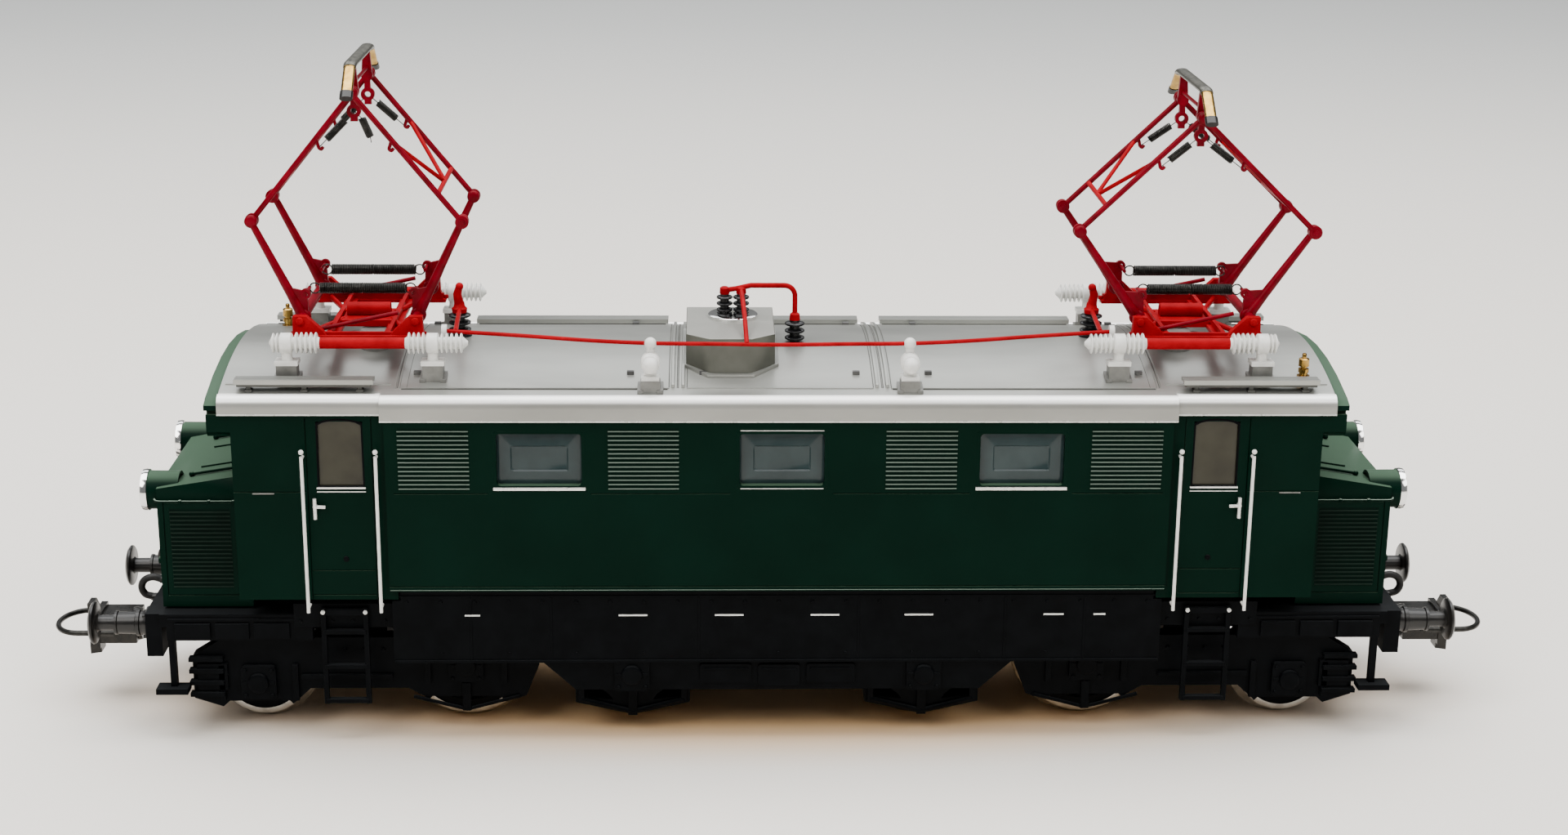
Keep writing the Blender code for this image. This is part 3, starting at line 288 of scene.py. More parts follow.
class Form:
    """Closed shapes in millimetres, collected in one mesh that becomes one piece."""

    def __init__(self, node=None):
        """An empty form, or a copy of a CAD node's shape with its facets joined into whole faces."""
        self.bm = bmesh.new()
        if node:
            self.bm.from_mesh(frame["nodes"][node].data)
            bmesh.ops.remove_doubles(self.bm, verts=self.bm.verts, dist=1e-6)
            bmesh.ops.transform(self.bm, matrix=Matrix.Scale(1 / MM, 4), verts=self.bm.verts)
            bmesh.ops.dissolve_limit(self.bm, angle_limit=math.radians(0.6), verts=self.bm.verts,
                                     edges=self.bm.edges)

    def loft(self, rings, looped=False):
        """Joins rings of equally many points; looped joins the last ring to the first."""
        loops = [[self.bm.verts.new(point) for point in ring] for ring in rings]
        pairs = list(zip(loops, loops[1:]))
        if looped:
            pairs.append((loops[-1], loops[0]))
        count = len(loops[0])
        for first, second in pairs:
            for i in range(count):
                j = (i + 1) % count
                self.bm.faces.new((first[i], first[j], second[j], second[i]))
        if not looped:
            self.bm.faces.new(loops[0])
            self.bm.faces.new(loops[-1])
        return self

    def prism(self, outline, axis, span):
        """Extrudes an outline along X (given in Y, Z), Y (in X, Z) or Z (in X, Y)."""
        return self.loft([[lifted(axis, a, b, level) for a, b in outline] for level in span])

    def box(self, x, y, z):
        """A block with square edges between three spans."""
        x, y = sorted(x), sorted(y)
        return self.prism([(x[0], y[0]), (x[1], y[0]), (x[1], y[1]), (x[0], y[1])], "Z", z)

    def turned(self, profile, axis, centre, sides=40, looped=False):
        """Spins (distance along the axis, radius) points; looped makes a ring with a hole."""
        along, down, side = {
            "X": (Vector((1, 0, 0)), Vector((0, 0, -1)), Vector((0, 1, 0))),
            "Y": (Vector((0, 1, 0)), Vector((0, 0, -1)), Vector((1, 0, 0))),
            "Z": (Vector((0, 0, 1)), Vector((1, 0, 0)), Vector((0, 1, 0))),
        }[axis]
        rings = [[Vector(centre) + along * d + (down * math.cos(a) + side * math.sin(a)) * r
                  for a in turns(sides)] for d, r in profile]
        return self.loft(rings, looped)

    def tube(self, points, radius, sides=12, taper=None, looped=False):
        """A round bar or wire through the points; taper is the radius at its far end."""
        points = [Vector(point) for point in points]
        last = len(points) - 1
        normal, rings = None, []
        for i, point in enumerate(points):
            ahead = points[(i + 1) % len(points) if looped else min(i + 1, last)] - point
            behind = point - points[i - 1 if looped or i else 0]
            along = (ahead.normalized() + behind.normalized()).normalized()
            normal = normal or along.orthogonal()
            normal = (normal - along * normal.dot(along)).normalized()
            across = along.cross(normal)
            size = radius if taper is None else radius + (taper - radius) * i / last
            rings.append([point + (normal * math.cos(a) + across * math.sin(a)) * size
                          for a in turns(sides)])
        return self.loft(rings, looped)

    def ball(self, centre, radius, rings=10, sides=20):
        """A ball with small flats at its top and foot."""
        steps = [math.pi * (k + 0.5) / rings for k in range(rings)]
        profile = [(-math.cos(a) * radius, math.sin(a) * radius) for a in steps]
        return self.turned(profile, "Z", centre, sides)

    def band(self, path, half_x, half_z):
        """A flat strip with rounded edges along a path in Y and Z, at the path's X."""
        points = [Vector(point) for point in path]
        corners = [(math.cos(a), math.sin(a)) for a in turns(16)]

        def squared(value):
            """Pushes a round section towards a square one."""
            return math.copysign(abs(value) ** 0.9, value)

        rings = []
        for i, point in enumerate(points):
            along = (points[min(i + 1, len(points) - 1)] - points[max(i - 1, 0)]).normalized()
            up = Vector((1, 0, 0)).cross(along)
            rings.append([point + Vector((squared(c) * half_x, 0, 0)) + up * squared(s) * half_z
                          for c, s in corners])
        return self.loft(rings)

    def frame_plate(self, outer, inner, axis, span):
        """A flat plate between two outlines of equally many points, open in the middle."""
        rings = [(outer, span[0]), (outer, span[1]), (inner, span[1]), (inner, span[0])]
        return self.loft([[lifted(axis, *p, level) for p in ring] for ring, level in rings], looped=True)

    def add(self, other):
        """Takes another form's shapes into this one."""
        mesh = bpy.data.meshes.new("temporary")
        other.bm.to_mesh(mesh)
        other.bm.free()
        self.bm.from_mesh(mesh)
        bpy.data.meshes.remove(mesh)

    def temporary(self):
        """An object that holds the shapes while a Boolean works on them."""
        mesh = bpy.data.meshes.new("temporary")
        bmesh.ops.recalc_face_normals(self.bm, faces=self.bm.faces)
        self.bm.to_mesh(mesh)
        self.bm.free()
        made = bpy.data.objects.new("temporary", mesh)
        bpy.context.scene.collection.objects.link(made)
        return made

    def cut(self, *cutters):
        """Takes the cutters' shapes away, each in its own Boolean."""
        base = self.temporary()
        tools = [cutter.temporary() for cutter in cutters]
        for tool in tools:
            step = base.modifiers.new("cut", "BOOLEAN")
            step.operation, step.solver, step.object = "DIFFERENCE", "EXACT", tool
            step.use_self = True
        depsgraph = bpy.context.evaluated_depsgraph_get()
        mesh = bpy.data.meshes.new_from_object(base.evaluated_get(depsgraph))
        self.bm = bmesh.new()
        self.bm.from_mesh(mesh)
        bmesh.ops.dissolve_limit(self.bm, angle_limit=math.radians(0.6), verts=self.bm.verts,
                                 edges=self.bm.edges)
        for old in [base, *tools]:
            bpy.data.objects.remove(old)
        return self

    def piece(self, name, surface, slot, body="root", bevel=0.0, stands_for=(), smooth=42.0):
        """Makes the form a piece in metres that rides on a body, its sharp edges bevelled."""
        bmesh.ops.recalc_face_normals(self.bm, faces=self.bm.faces)
        if bevel:
            sharp = [e for e in self.bm.edges
                     if len(e.link_faces) == 2 and e.calc_face_angle(0.0) > math.radians(smooth)]
            bmesh.ops.bevel(self.bm, geom=sharp, offset=bevel, segments=2, profile=0.6,
                            affect="EDGES", clamp_overlap=True)
        mesh = bpy.data.meshes.new(name)
        bmesh.ops.transform(self.bm, matrix=Matrix.Scale(MM, 4), verts=self.bm.verts)
        self.bm.to_mesh(mesh)
        self.bm.free()
        made = bpy.data.objects.new(name, mesh)
        bpy.context.scene.collection.objects.link(made)
        mesh.materials.append(surface)
        mesh.shade_smooth()
        mesh.set_sharp_from_angle(angle=math.radians(smooth))
        if bevel:
            made.modifiers.new("weighted", "WEIGHTED_NORMAL").keep_sharp = True
        if body:
            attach(made, body)
        if stands_for:
            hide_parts(*stands_for)
        return made


def arc(centre, radius, start, stop, steps):
    """Points on a circle arc in a plane, angles in degrees."""
    angles = [math.radians(start + (stop - start) * k / steps) for k in range(steps + 1)]
    return [(centre[0] + radius * math.cos(a), centre[1] + radius * math.sin(a)) for a in angles]


def rounded(x, z, radius, steps=5):
    """A rectangle with round corners, as an outline."""
    corners = ((x[1] - radius, z[0] + radius, -90), (x[1] - radius, z[1] - radius, 0),
               (x[0] + radius, z[1] - radius, 90), (x[0] + radius, z[0] + radius, 180))
    return [p for a, b, turn in corners for p in arc((a, b), radius, turn, turn + 90, steps)]


def ribs(start, stop, count, core, rim):
    """The profile of a ribbed insulator, each rib a rounded disc."""
    pitch = (stop - start) / count
    shape = ((0.0, 0.0), (0.18, 0.0), (0.26, 0.75), (0.38, 1.0), (0.56, 1.0), (0.68, 0.75), (0.78, 0.0))
    points = [(start + pitch * (k + share), core + (rim - core) * rise)
              for k in range(count) for share, rise in shape]
    return points + [(stop, core)]


def helix(start, end, radius, turns, per_turn=12):
    """Points of a coil wound around the line from start to end."""
    start, end = Vector(start), Vector(end)
    along = (end - start).normalized()
    first = along.orthogonal().normalized()
    second = along.cross(first)
    total = int(turns * per_turn)
    points = []
    for k in range(total + 1):
        a = 2 * math.pi * k / per_turn
        points.append(start.lerp(end, k / total) + (first * math.cos(a) + second * math.sin(a)) * radius)
    return points


def roof_height(y):
    """The height of the roof's arch at a distance from its middle."""
    return ROOF_TOP - y * y / (2 * ROOF_ARCH_RADIUS)


def flip(x, sign):
    """A span, turned to the negative side when the sign is negative."""
    return sorted((sign * x[0], sign * x[1]))


def at_y(point, y):
    """The point moved across the locomotive to y."""
    return Vector((point.x, y, point.z))


# ---------------------------------------------------------------- camera, light and floor

def camera():
    """The photograph's viewpoint: from the side, above and close, with a slight turn and roll."""
    pitch, yaw, roll = math.radians(16.676), math.radians(-1.94), math.radians(0.552)
    data = bpy.data.cameras.new("camera")
    focal_length_in_widths = 2979.3 / 1920
    data.sensor_width = 36.0
    data.lens = data.sensor_width * focal_length_in_widths
    data.clip_start, data.clip_end = 0.01, 20.0
    view = bpy.data.objects.new("camera", data)
    view.location = Vector((-8.76, -286.9, 121.92)) * MM
    turn = Matrix.Rotation(yaw, 3, "Z") @ Matrix.Rotation(math.pi / 2 - pitch, 3, "X")
    view.rotation_euler = (turn @ Matrix.Rotation(roll, 3, "Z")).to_euler()
    bpy.context.scene.collection.objects.link(view)
    bpy.context.scene.camera = view


def softbox(name, location, target, size, power, tint=(1.0, 1.0, 1.0)):
    """A rectangular area lamp that looks at a target."""
    data = bpy.data.lights.new(name, "AREA")
    data.shape, data.size, data.size_y = "RECTANGLE", size[0], size[1]
    data.energy, data.color = power, tint
    lamp = bpy.data.objects.new(name, data)
    lamp.location = location
    lamp.rotation_euler = (Vector(target) - Vector(location)).to_track_quat("-Z", "Y").to_euler()
    bpy.context.scene.collection.objects.link(lamp)


def paper():
    """The table's paper: greyer far behind, with a tan patch painted under the locomotive as its warm shadow.
    """
    made = finish("table_paper", (0.80, 0.765, 0.71), (0.83, 0.79, 0.735), 0.7, patch=300.0, grain=0.6,
                  bump=0.05, specular=0.1)
    nodes, links = made.node_tree.nodes, made.node_tree.links
    place = nodes["Texture Coordinate"]
    colour = nodes["Color Ramp"].outputs["Color"]
    far = ((0.645, 0.655, 0.645), (0, 1.45), (9.0, 1.3), 0.45)
    # A painted shadow: a warm brown patch on the paper under the locomotive.
    under = ((0.80, 0.52, 0.27), (0, 0), (0.098, 0.026), 0.6)
    for tone, centre, size, reach in (far, under):
        mapping = nodes.new("ShaderNodeMapping")
        mapping.inputs["Location"].default_value = (-centre[0] / size[0], -centre[1] / size[1], 0)
        mapping.inputs["Scale"].default_value = (1 / size[0], 1 / size[1], 0)
        fade = nodes.new("ShaderNodeTexGradient")
        fade.gradient_type = "SPHERICAL"
        cover = nodes.new("ShaderNodeMapRange")
        cover.interpolation_type = "SMOOTHSTEP"
        cover.inputs["From Max"].default_value = reach
        mix = nodes.new("ShaderNodeMix")
        mix.data_type = "RGBA"
        mix.inputs["B"].default_value = (*tone, 1.0)
        links.new(place.outputs["Object"], mapping.inputs["Vector"])
        links.new(mapping.outputs["Vector"], fade.inputs["Vector"])
        links.new(fade.outputs["Fac"], cover.inputs["Value"])
        links.new(cover.outputs["Result"], mix.inputs["Factor"])
        links.new(colour, mix.inputs["A"])
        colour = mix.outputs["Result"]
    links.new(colour, nodes["Principled BSDF"].inputs["Base Color"])
    return made


def studio():
    """A pale table, a pale surround and soft light from above."""
    world = bpy.data.worlds.new("surround")
    world.use_nodes = True
    background = world.node_tree.nodes["Background"]
    background.inputs["Color"].default_value = (0.84, 0.85, 0.85, 1.0)
    background.inputs["Strength"].default_value = 0.26
    bpy.context.scene.world = world
    softbox("overhead", (0.0, 0.05, 0.72), (0, 0, 0.03), (1.0, 0.55), 12.5)
    softbox("key", (-0.40, -0.45, 0.60), (0, -0.1, 0.0), (0.5, 0.4), 4.6, (1.0, 0.975, 0.94))
    softbox("fill", (0.45, -0.50, 0.60), (0, -0.1, 0.0), (0.5, 0.4), 3.2, (1.0, 0.98, 0.95))
    softbox("back", (0.0, 1.10, 0.95), (0, 0.2, 0.0), (1.4, 0.5), 6.0, (0.97, 0.985, 1.0))
    bm = bmesh.new()
    bmesh.ops.create_grid(bm, x_segments=4, y_segments=4, size=4.0)
    mesh = bpy.data.meshes.new("table")
    bm.to_mesh(mesh)
    bm.free()
    table = bpy.data.objects.new("table", mesh)
    bpy.context.scene.collection.objects.link(table)
    mesh.materials.append(paper())


# ---------------------------------------------------------------- body

def louvre(name, x, z, y_wall, side, slats, surface, proud=0.14):
    """Pressed slats in a pocket of the wall, each with a sloping lip just proud of its face."""
    form = Form()
    pitch = (z[1] - z[0]) / slats
    for k in range(slats):
        low = z[0] + pitch * k
        section = [(-0.40, 0.98), (-0.40, 0.02), (-0.04, 0.02), (-0.04, 0.12), (proud, 0.18), (proud, 0.23),
                   (-0.04, 0.34), (-0.04, 0.98)]
        form.prism([(side * (y_wall + out), low + pitch * up) for out, up in section], "X", x)
    form.piece(name, surface, "body_green")


def body_cutters():
    """Louvre pockets, panel seams and door joints, as one cutter for each kind."""
    pockets, seams = Form(), Form()
    width, deep = SEAM_WIDTH, SEAM_DEPTH
    louvre_x, louvre_z = SNOUT_LOUVRE
    panel_x, panel_z = SNOUT_PANEL
    for _, side in SIDES:
        outside = side * (WALL_Y + 1.0)
        wall = (side * (WALL_Y - deep), outside)
        cab_wall = (side * (CAB_WALL_Y - deep), side * (CAB_WALL_Y + 0.6))
        snout_wall = (side * (SNOUT_Y - deep), side * (SNOUT_Y + 0.5))
        for x in LOUVRES_X:
            pockets.box(x, (side * (WALL_Y - 0.5), outside), LOUVRE_Z)
        for x in ((-44.9, -34.0), (-22.0, -5.8), (6.2, 22.2), (34.2, 44.9)):
            seams.box(x, wall, (SEAM_Z - width, SEAM_Z))
        seams.box((-MAIN_END - 1, MAIN_END + 1), wall, (FOOT_SEAM_Z, FOOT_SEAM_Z + width))
        for _, sign in ENDS:
            for x in DOOR_X:
                seams.box(flip(about(x, width / 2), sign), cab_wall, (18.0, 40.9))
            between_joints = flip((DOOR_X[0] + width, DOOR_X[1] - width), sign)
            for z in (19.15, 22.2):
                seams.box(between_joints, cab_wall, (z, z + width))
            behind_door = flip((DOOR_X[1] + width, CAB_FRONT + 0.5), sign)
            seams.box(behind_door, cab_wall, (SEAM_Z - width, SEAM_Z))
            pockets.box(flip(louvre_x, sign), (side * (SNOUT_Y - 0.5), side * (SNOUT_Y + 1.0)), louvre_z)
            for z in panel_z:
                seams.box(flip((panel_x[0], panel_x[1] + 0.1), sign), snout_wall, (z, z + width))
            for x in panel_x:
                seams.box(flip((x, x + width), sign), snout_wall, (panel_z[0], panel_z[1] + 0.1))
    for _, sign in ENDS:
        face = flip((SNOUT_FRONT - deep, SNOUT_FRONT + 0.5), sign)
        for y in (-4.6, 4.6):
            seams.box(face, about(y, width / 2), (16.6, 30.6))
        seams.box(face, (-12.2, 12.2), (25.6, 25.6 + width))
    return pockets, seams


def body():
    """The body moulding with its pockets and seams cut, and the louvres in the pockets."""
    shell = Form("body_shell").cut(*body_cutters())
    shell.piece("body_moulding", GREEN, "body_green", bevel=0.10, stands_for=["body_shell"])
    for word, side in SIDES:
        for k, x in enumerate(LOUVRES_X):
            louvre(f"louvre_{word}_{k + 1}", x, LOUVRE_Z, WALL_Y, side, LOUVRE_SLATS, LOUVRE_GREEN)
        for end, sign in ENDS:
            x, z = SNOUT_LOUVRE
            louvre(f"snout_louvre_{end}_{word}", flip(x, sign), z, SNOUT_Y, side, SNOUT_SLATS, PANEL_GREEN)


def body_lips():
    """The thin rounded lips along the foot of the main walls, their pale top a painted highlight."""
    form = Form()
    for _, side in SIDES:
        form.tube([(x, side * (WALL_Y + 0.02), 19.92) for x in (-MAIN_END + 0.1, MAIN_END - 0.1)], 0.10, 8)
    form.piece("body_lips", LOUVRE_GREEN, "body_green")


def windows():
    """Frames, sills and the stepped panes of the machine-room windows."""
    for word, side in SIDES:
        face = side * WALL_Y
        rims, panes, sills = Form(), Form(), Form()
        for k, centre in enumerate(WINDOWS_X):
            x = (centre - WINDOW_HALF, centre + WINDOW_HALF)
            outer = rounded((x[0] - 0.05, x[1] + 0.05), (WINDOW_Z[0] - 0.05, WINDOW_Z[1] + 0.05), 0.3)
            inner = rounded((x[0] + 0.32, x[1] - 0.32), (WINDOW_Z[0] + 0.32, WINDOW_Z[1] - 0.32), 0.45)
            rims.frame_plate(outer, inner, "Y", (face + side * 0.02, face - side * 1.0))
            steps = ((0.10, 1.5), (0.30, 0.85), (1.9, 0.62), (2.05, 0.80))
            panes.loft([[(px, face - side * depth, pz) for px, pz in
                         rounded((x[0] + inset, x[1] - inset),
                                 (WINDOW_Z[0] + inset, WINDOW_Z[1] - inset), 0.3)]
                        for inset, depth in steps])
            if k != 1:
                sills.box((x[0] - 0.1, x[1] + 0.1), (face - side * 0.3, face + side * 0.22),
                          (WINDOW_Z[0] - 0.22, WINDOW_Z[0] + 0.12))
            else:
                y = (face - side * 0.2, face + side * 0.09)
                for z in (WINDOW_Z[0] - 0.1, WINDOW_Z[1] + 0.06):
                    sills.box((x[0] + 0.4, x[1] - 0.4), y, (z, z + 0.10))
        rims.piece(f"window_frames_{word}", GREEN, "body_green", bevel=0.05)
        sills.piece(f"window_sills_{word}", TRIM, "motor_steel", bevel=0.04)
        low, high = box_of(f"side_glazing_{word}")
        panes.box((low.x, high.x), (low.y, high.y), (low.z, high.z))
        panes.piece(f"glazing_{word}", GLAZING, "glazing", stands_for=[f"side_glazing_{word}"])


def door_window(x, z):
    """The outline of a door pane: square below, round shoulders under a shallow arch."""
    low, high = x
    rise, steps, shoulder = 0.45, 8, 0.35
    crown = [(low + (high - low) * k / steps, z[1] - rise + rise * math.sin(math.pi * k / steps))
             for k in range(steps, -1, -1)]
    crown[0] = (high - 0.05, z[1] - rise - shoulder * 0.4)
    crown[-1] = (low + 0.05, z[1] - rise - shoulder * 0.4)
    return [(low, z[0]), (high, z[0])] + crown


def cabs():
    """Cab windows with their frames, door furniture, handrails and the hood bars."""
    for end, sign in ENDS:
        frames, front_frames, fittings, rails, locks, panes, plates = (Form() for _ in range(7))
        for _, side in SIDES:
            wall = side * CAB_WALL_Y
            x = flip(DOOR_PANE_X, sign)
            outer = door_window((x[0] - 0.04, x[1] + 0.04), (DOOR_PANE_Z[0] - 0.04, DOOR_PANE_Z[1] + 0.35))
            inner = door_window((x[0] + 0.16, x[1] - 0.16), (DOOR_PANE_Z[0] + 0.06, DOOR_PANE_Z[1] + 0.12))
            frames.frame_plate(outer, inner, "Y", (wall + side * 0.03, wall - side * 0.9))
            panes.prism(door_window((x[0] + 0.1, x[1] - 0.1), (DOOR_PANE_Z[0], DOOR_PANE_Z[1] + 0.18)), "Y",
                        (wall - side * 0.32, wall - side * 0.8))
            for z, height, lift in ((32.38, 0.18, 0.24), (31.95, 0.09, 0.12)):
                fittings.box((x[0] - 0.12, x[1] + 0.12), (wall, wall + side * lift), (z, z + height))
            handle_x, handle_y = sign * 54.1, wall + side * 0.55
            fittings.tube([(handle_x, handle_y, 28.8), (handle_x, handle_y, 31.3)], 0.22)
            lever_end = (handle_x - sign * 1.2, wall + side * 0.50, 30.25)
            fittings.tube([(handle_x, handle_y, 30.3), lever_end], 0.2)
            fittings.turned([(0.0, 0.24), (side * 0.6, 0.24)], "Y", (handle_x, wall, 30.3), 16)
            locks.turned([(wall, 0.34), (wall + side * 0.14, 0.30)], "Y", (sign * 50.8, 0, 23.7), 20)
            plates.box(flip((58.8, 61.3), sign), (wall, wall + side * 0.16), (31.72, 31.84))
            for rail_x in RAIL_X:
                rail = sign * rail_x
                out = side * RAIL_Y
                rails.tube([(rail, out, RAIL_Z[0]), (rail, out, RAIL_Z[1])], 0.20)
                rails.ball((rail, out, RAIL_Z[1] + 0.55), 0.30)
                for z in (RAIL_Z[0] + 0.5, RAIL_Z[1] - 0.3):
                    rails.tube([(rail, side * 16.6, z), (rail, out, z)], 0.17, 8)
        z = (34.4, 38.2)
        for y in ((-12.6, -6.2), (-3.6, 3.6), (6.2, 12.6)):
            outer = rounded((y[0] - 0.35, y[1] + 0.35), (z[0] - 0.35, z[1] + 0.2), 0.3)
            inner = rounded((y[0] + 0.15, y[1] - 0.15), (z[0] + 0.15, z[1] - 0.15), 0.4)
            front_frames.frame_plate(outer, inner, "X", flip((CAB_FRONT - 0.4, CAB_FRONT + 0.22), sign))
        frames.piece(f"door_window_frames_{end}", BLACK, "frame_black", bevel=0.03)
        front_frames.piece(f"cab_window_frames_{end}", TRIM, "motor_steel", bevel=0.05)
        fittings.piece(f"door_fittings_{end}", TRIM, "motor_steel")
        locks.piece(f"door_locks_{end}", BLACK, "frame_black")
        plates.piece(f"cab_side_strips_{end}", SADDLE, "motor_steel")
        panes.piece(f"door_panes_{end}", DOOR_GLAZING, "glazing", bevel=0.05)
        rails.piece(f"door_handrails_{end}", RAIL_WHITE, "porcelain_white")
        wipers(end, sign)
        lamps(end, sign)
        hood(end, sign)


def wipers(end, sign):
    """One wiper on each outer window of the cab front."""
    form = Form()
    x = sign * (CAB_FRONT + 0.4)
    for y in (-9.4, 9.4):
        form.tube([(x, y + 2.2, 38.3), (x + sign * 0.1, y + 0.6, 36.2)], 0.10, 8)
        form.tube([(x, y + 2.4, 35.6), (x, y - 1.4, 36.9)], 0.09, 8)
        form.turned([(0.0, 0.28), (sign * 0.5, 0.22)], "X", (sign * CAB_FRONT, y + 2.2, 38.3), 16)
    form.piece(f"wipers_{end}", SATIN, "frame_black")


def lamps(end, sign):
    """Round lamp housings with a chrome rim, a reflector and a domed lens."""
    housings, rims, lenses, bowls = Form(), Form(), Form(), Form()
    housing = [(71.0, 1.90), (71.0, 2.27), (74.7, 2.30), (74.9, 2.24), (74.9, 1.90)]
    rim = [(74.6, 2.30), (74.7, 2.47), (75.0, 2.52), (75.4, 2.45), (75.5, 2.25), (75.45, 2.0),
           (75.1, 1.86), (74.6, 1.86)]
    bowl = [(74.0, 1.80), (74.0, 0.5), (74.25, 0.75), (74.6, 1.5), (74.95, 1.84)]
    dome = [(75.0, 1.86), (75.15, 1.80), (75.35, 1.35), (75.45, 0.8), (75.48, 0.2)]
    parts = ((housings, housing, 48, True), (rims, rim, 48, True), (bowls, bowl, 40, True),
             (lenses, dome, 40, False))
    for y in (-LAMP_Y, LAMP_Y):
        for form, profile, sides, hollow in parts:
            form.turned([(sign * x, r) for x, r in profile], "X", (0, y, LAMP_Z), sides, hollow)
    foot = box_of(f"headlight_guide_{end}")[0].z
    lenses.box((sign * 68.4, sign * 69.9), (-LAMP_Y - 0.8, LAMP_Y + 0.8), (foot, foot + 1.3))
    for y in (-LAMP_Y, LAMP_Y):
        lenses.turned([(sign * 69.0, 0.6), (sign * 74.2, 0.6)], "X", (0, y, LAMP_Z - 0.6), 16)
    housings.piece(f"lamp_housings_{end}", GREEN, "body_green", bevel=0.04)
    rims.piece(f"lamp_rims_{end}", CHROME, "motor_steel")
    bowls.piece(f"lamp_reflectors_{end}", CHROME, "motor_steel")
    lenses.piece(f"lamp_lenses_{end}", LENS, "clear_plastic", stands_for=[f"headlight_guide_{end}"])


def hood_top(x):
    """Height of the snout's hood, which rises from its front to the cab wall."""
    return 31.0 + 1.6 * (SNOUT_FRONT - x) / (SNOUT_FRONT - CAB_FRONT)


def hood(end, sign):
    """Bars on the hood, the thin handrail round the snout and small fittings on its front."""
    bars, rail, fittings = Form(), Form(), Form()
    post = sign * 64.4
    for y, long, ball in ((-9.8, 69.7, True), (-6.7, 69.2, False), (1.3, 69.2, False), (5.1, 69.7, True)):
        lift, radius = (0.30, 0.20) if ball else (0.10, 0.14)
        bars.tube([(sign * x, y, hood_top(x) + lift) for x in (CAB_FRONT + 0.2, long)], radius, 10)
        if ball:
            bars.ball((sign * long, y, hood_top(long) + 0.26), 0.36)
            bars.tube([(post, y, hood_top(64.4) - 0.2), (post, y, hood_top(64.4) + 0.3)], 0.25, 10)
    level, bend = SNOUT_RAIL_Z, 0.95
    for _, side in SIDES:
        out = SNOUT_Y + 0.45
        corner = [(72.8 + bend * math.sin(a), out - bend * (1 - math.cos(a))) for a in
                  [math.pi / 2 * k / 6 for k in range(7)]]
        route = [(64.0, out)] + corner + [(73.75, 8.2)]
        rail.tube([(sign * x, side * y, level) for x, y in route], 0.13, 10)
        for x in (64.3, 67.2, 70.6):
            rail.ball((sign * x, side * out, level), 0.24, rings=8, sides=12)
            rail.tube([(sign * x, side * (SNOUT_Y - 0.2), level), (sign * x, side * out, level)], 0.12, 8)
        face = flip((SNOUT_FRONT - 0.1, SNOUT_FRONT + 0.22), sign)
        for z in (18.4, 21.0, 27.4):
            fittings.box(face, (side * 4.2, side * 5.4), (z, z + 0.5))
        fittings.turned([(sign * 73.2, 0.5), (sign * 73.9, 0.42)], "X", (0, side * 11.4, 21.6), 20)
    fittings.box(flip((SNOUT_FRONT - 0.1, SNOUT_FRONT + 0.35), sign), (-3.9, 3.9), (28.0, 28.3))
    bars.piece(f"hood_bars_{end}", GREEN, "body_green")
    rail.piece(f"snout_handrail_{end}", LOUVRE_GREEN, "body_green")
    fittings.piece(f"snout_fittings_{end}", GREEN, "body_green", bevel=0.06)


# ---------------------------------------------------------------- roof

def roof_profile(half_width, bottom):
    """The roof in cross-section: a round gutter bead on both sides of the arch, hollow below."""
    bead = 1.45
    right = [(half_width - 0.35, bottom), (half_width - 0.05, bottom + 0.05), (half_width, bottom + 0.3)]
    right += arc((half_width - bead, 42.25), bead, 0, 78, 8)
    right += [(half_width - 1.35, 43.52), (half_width - 1.62, 43.50)]
    reach = half_width - 1.75
    arch = [(reach * (1 - k / 14), roof_height(reach * (1 - k / 14))) for k in range(29)]
    outer = right + arch + [(-y, z) for y, z in reversed(right)]
    inside = half_width - 1.05
    under = [(reach * (k / 8 - 1) * 0.95, roof_height(reach * (k / 8 - 1)) - 1.2) for k in range(17)]
    return outer + [(-inside, bottom), (-inside, 42.0)] + under + [(inside, 42.0), (inside, bottom)]


def across_roof(form, x, half_x, reach, rise, sink=0.15):
    """A raised strip that follows the arch from one side to the other."""
    rings = []
    for k in range(21):
        y = reach * (k / 10 - 1)
        z = roof_height(y)
        rings.append([(x - half_x, y, z - sink), (x + half_x, y, z - sink), (x + half_x * 0.6, y, z + rise),
                      (x - half_x * 0.6, y, z + rise)])
    form.loft(rings)


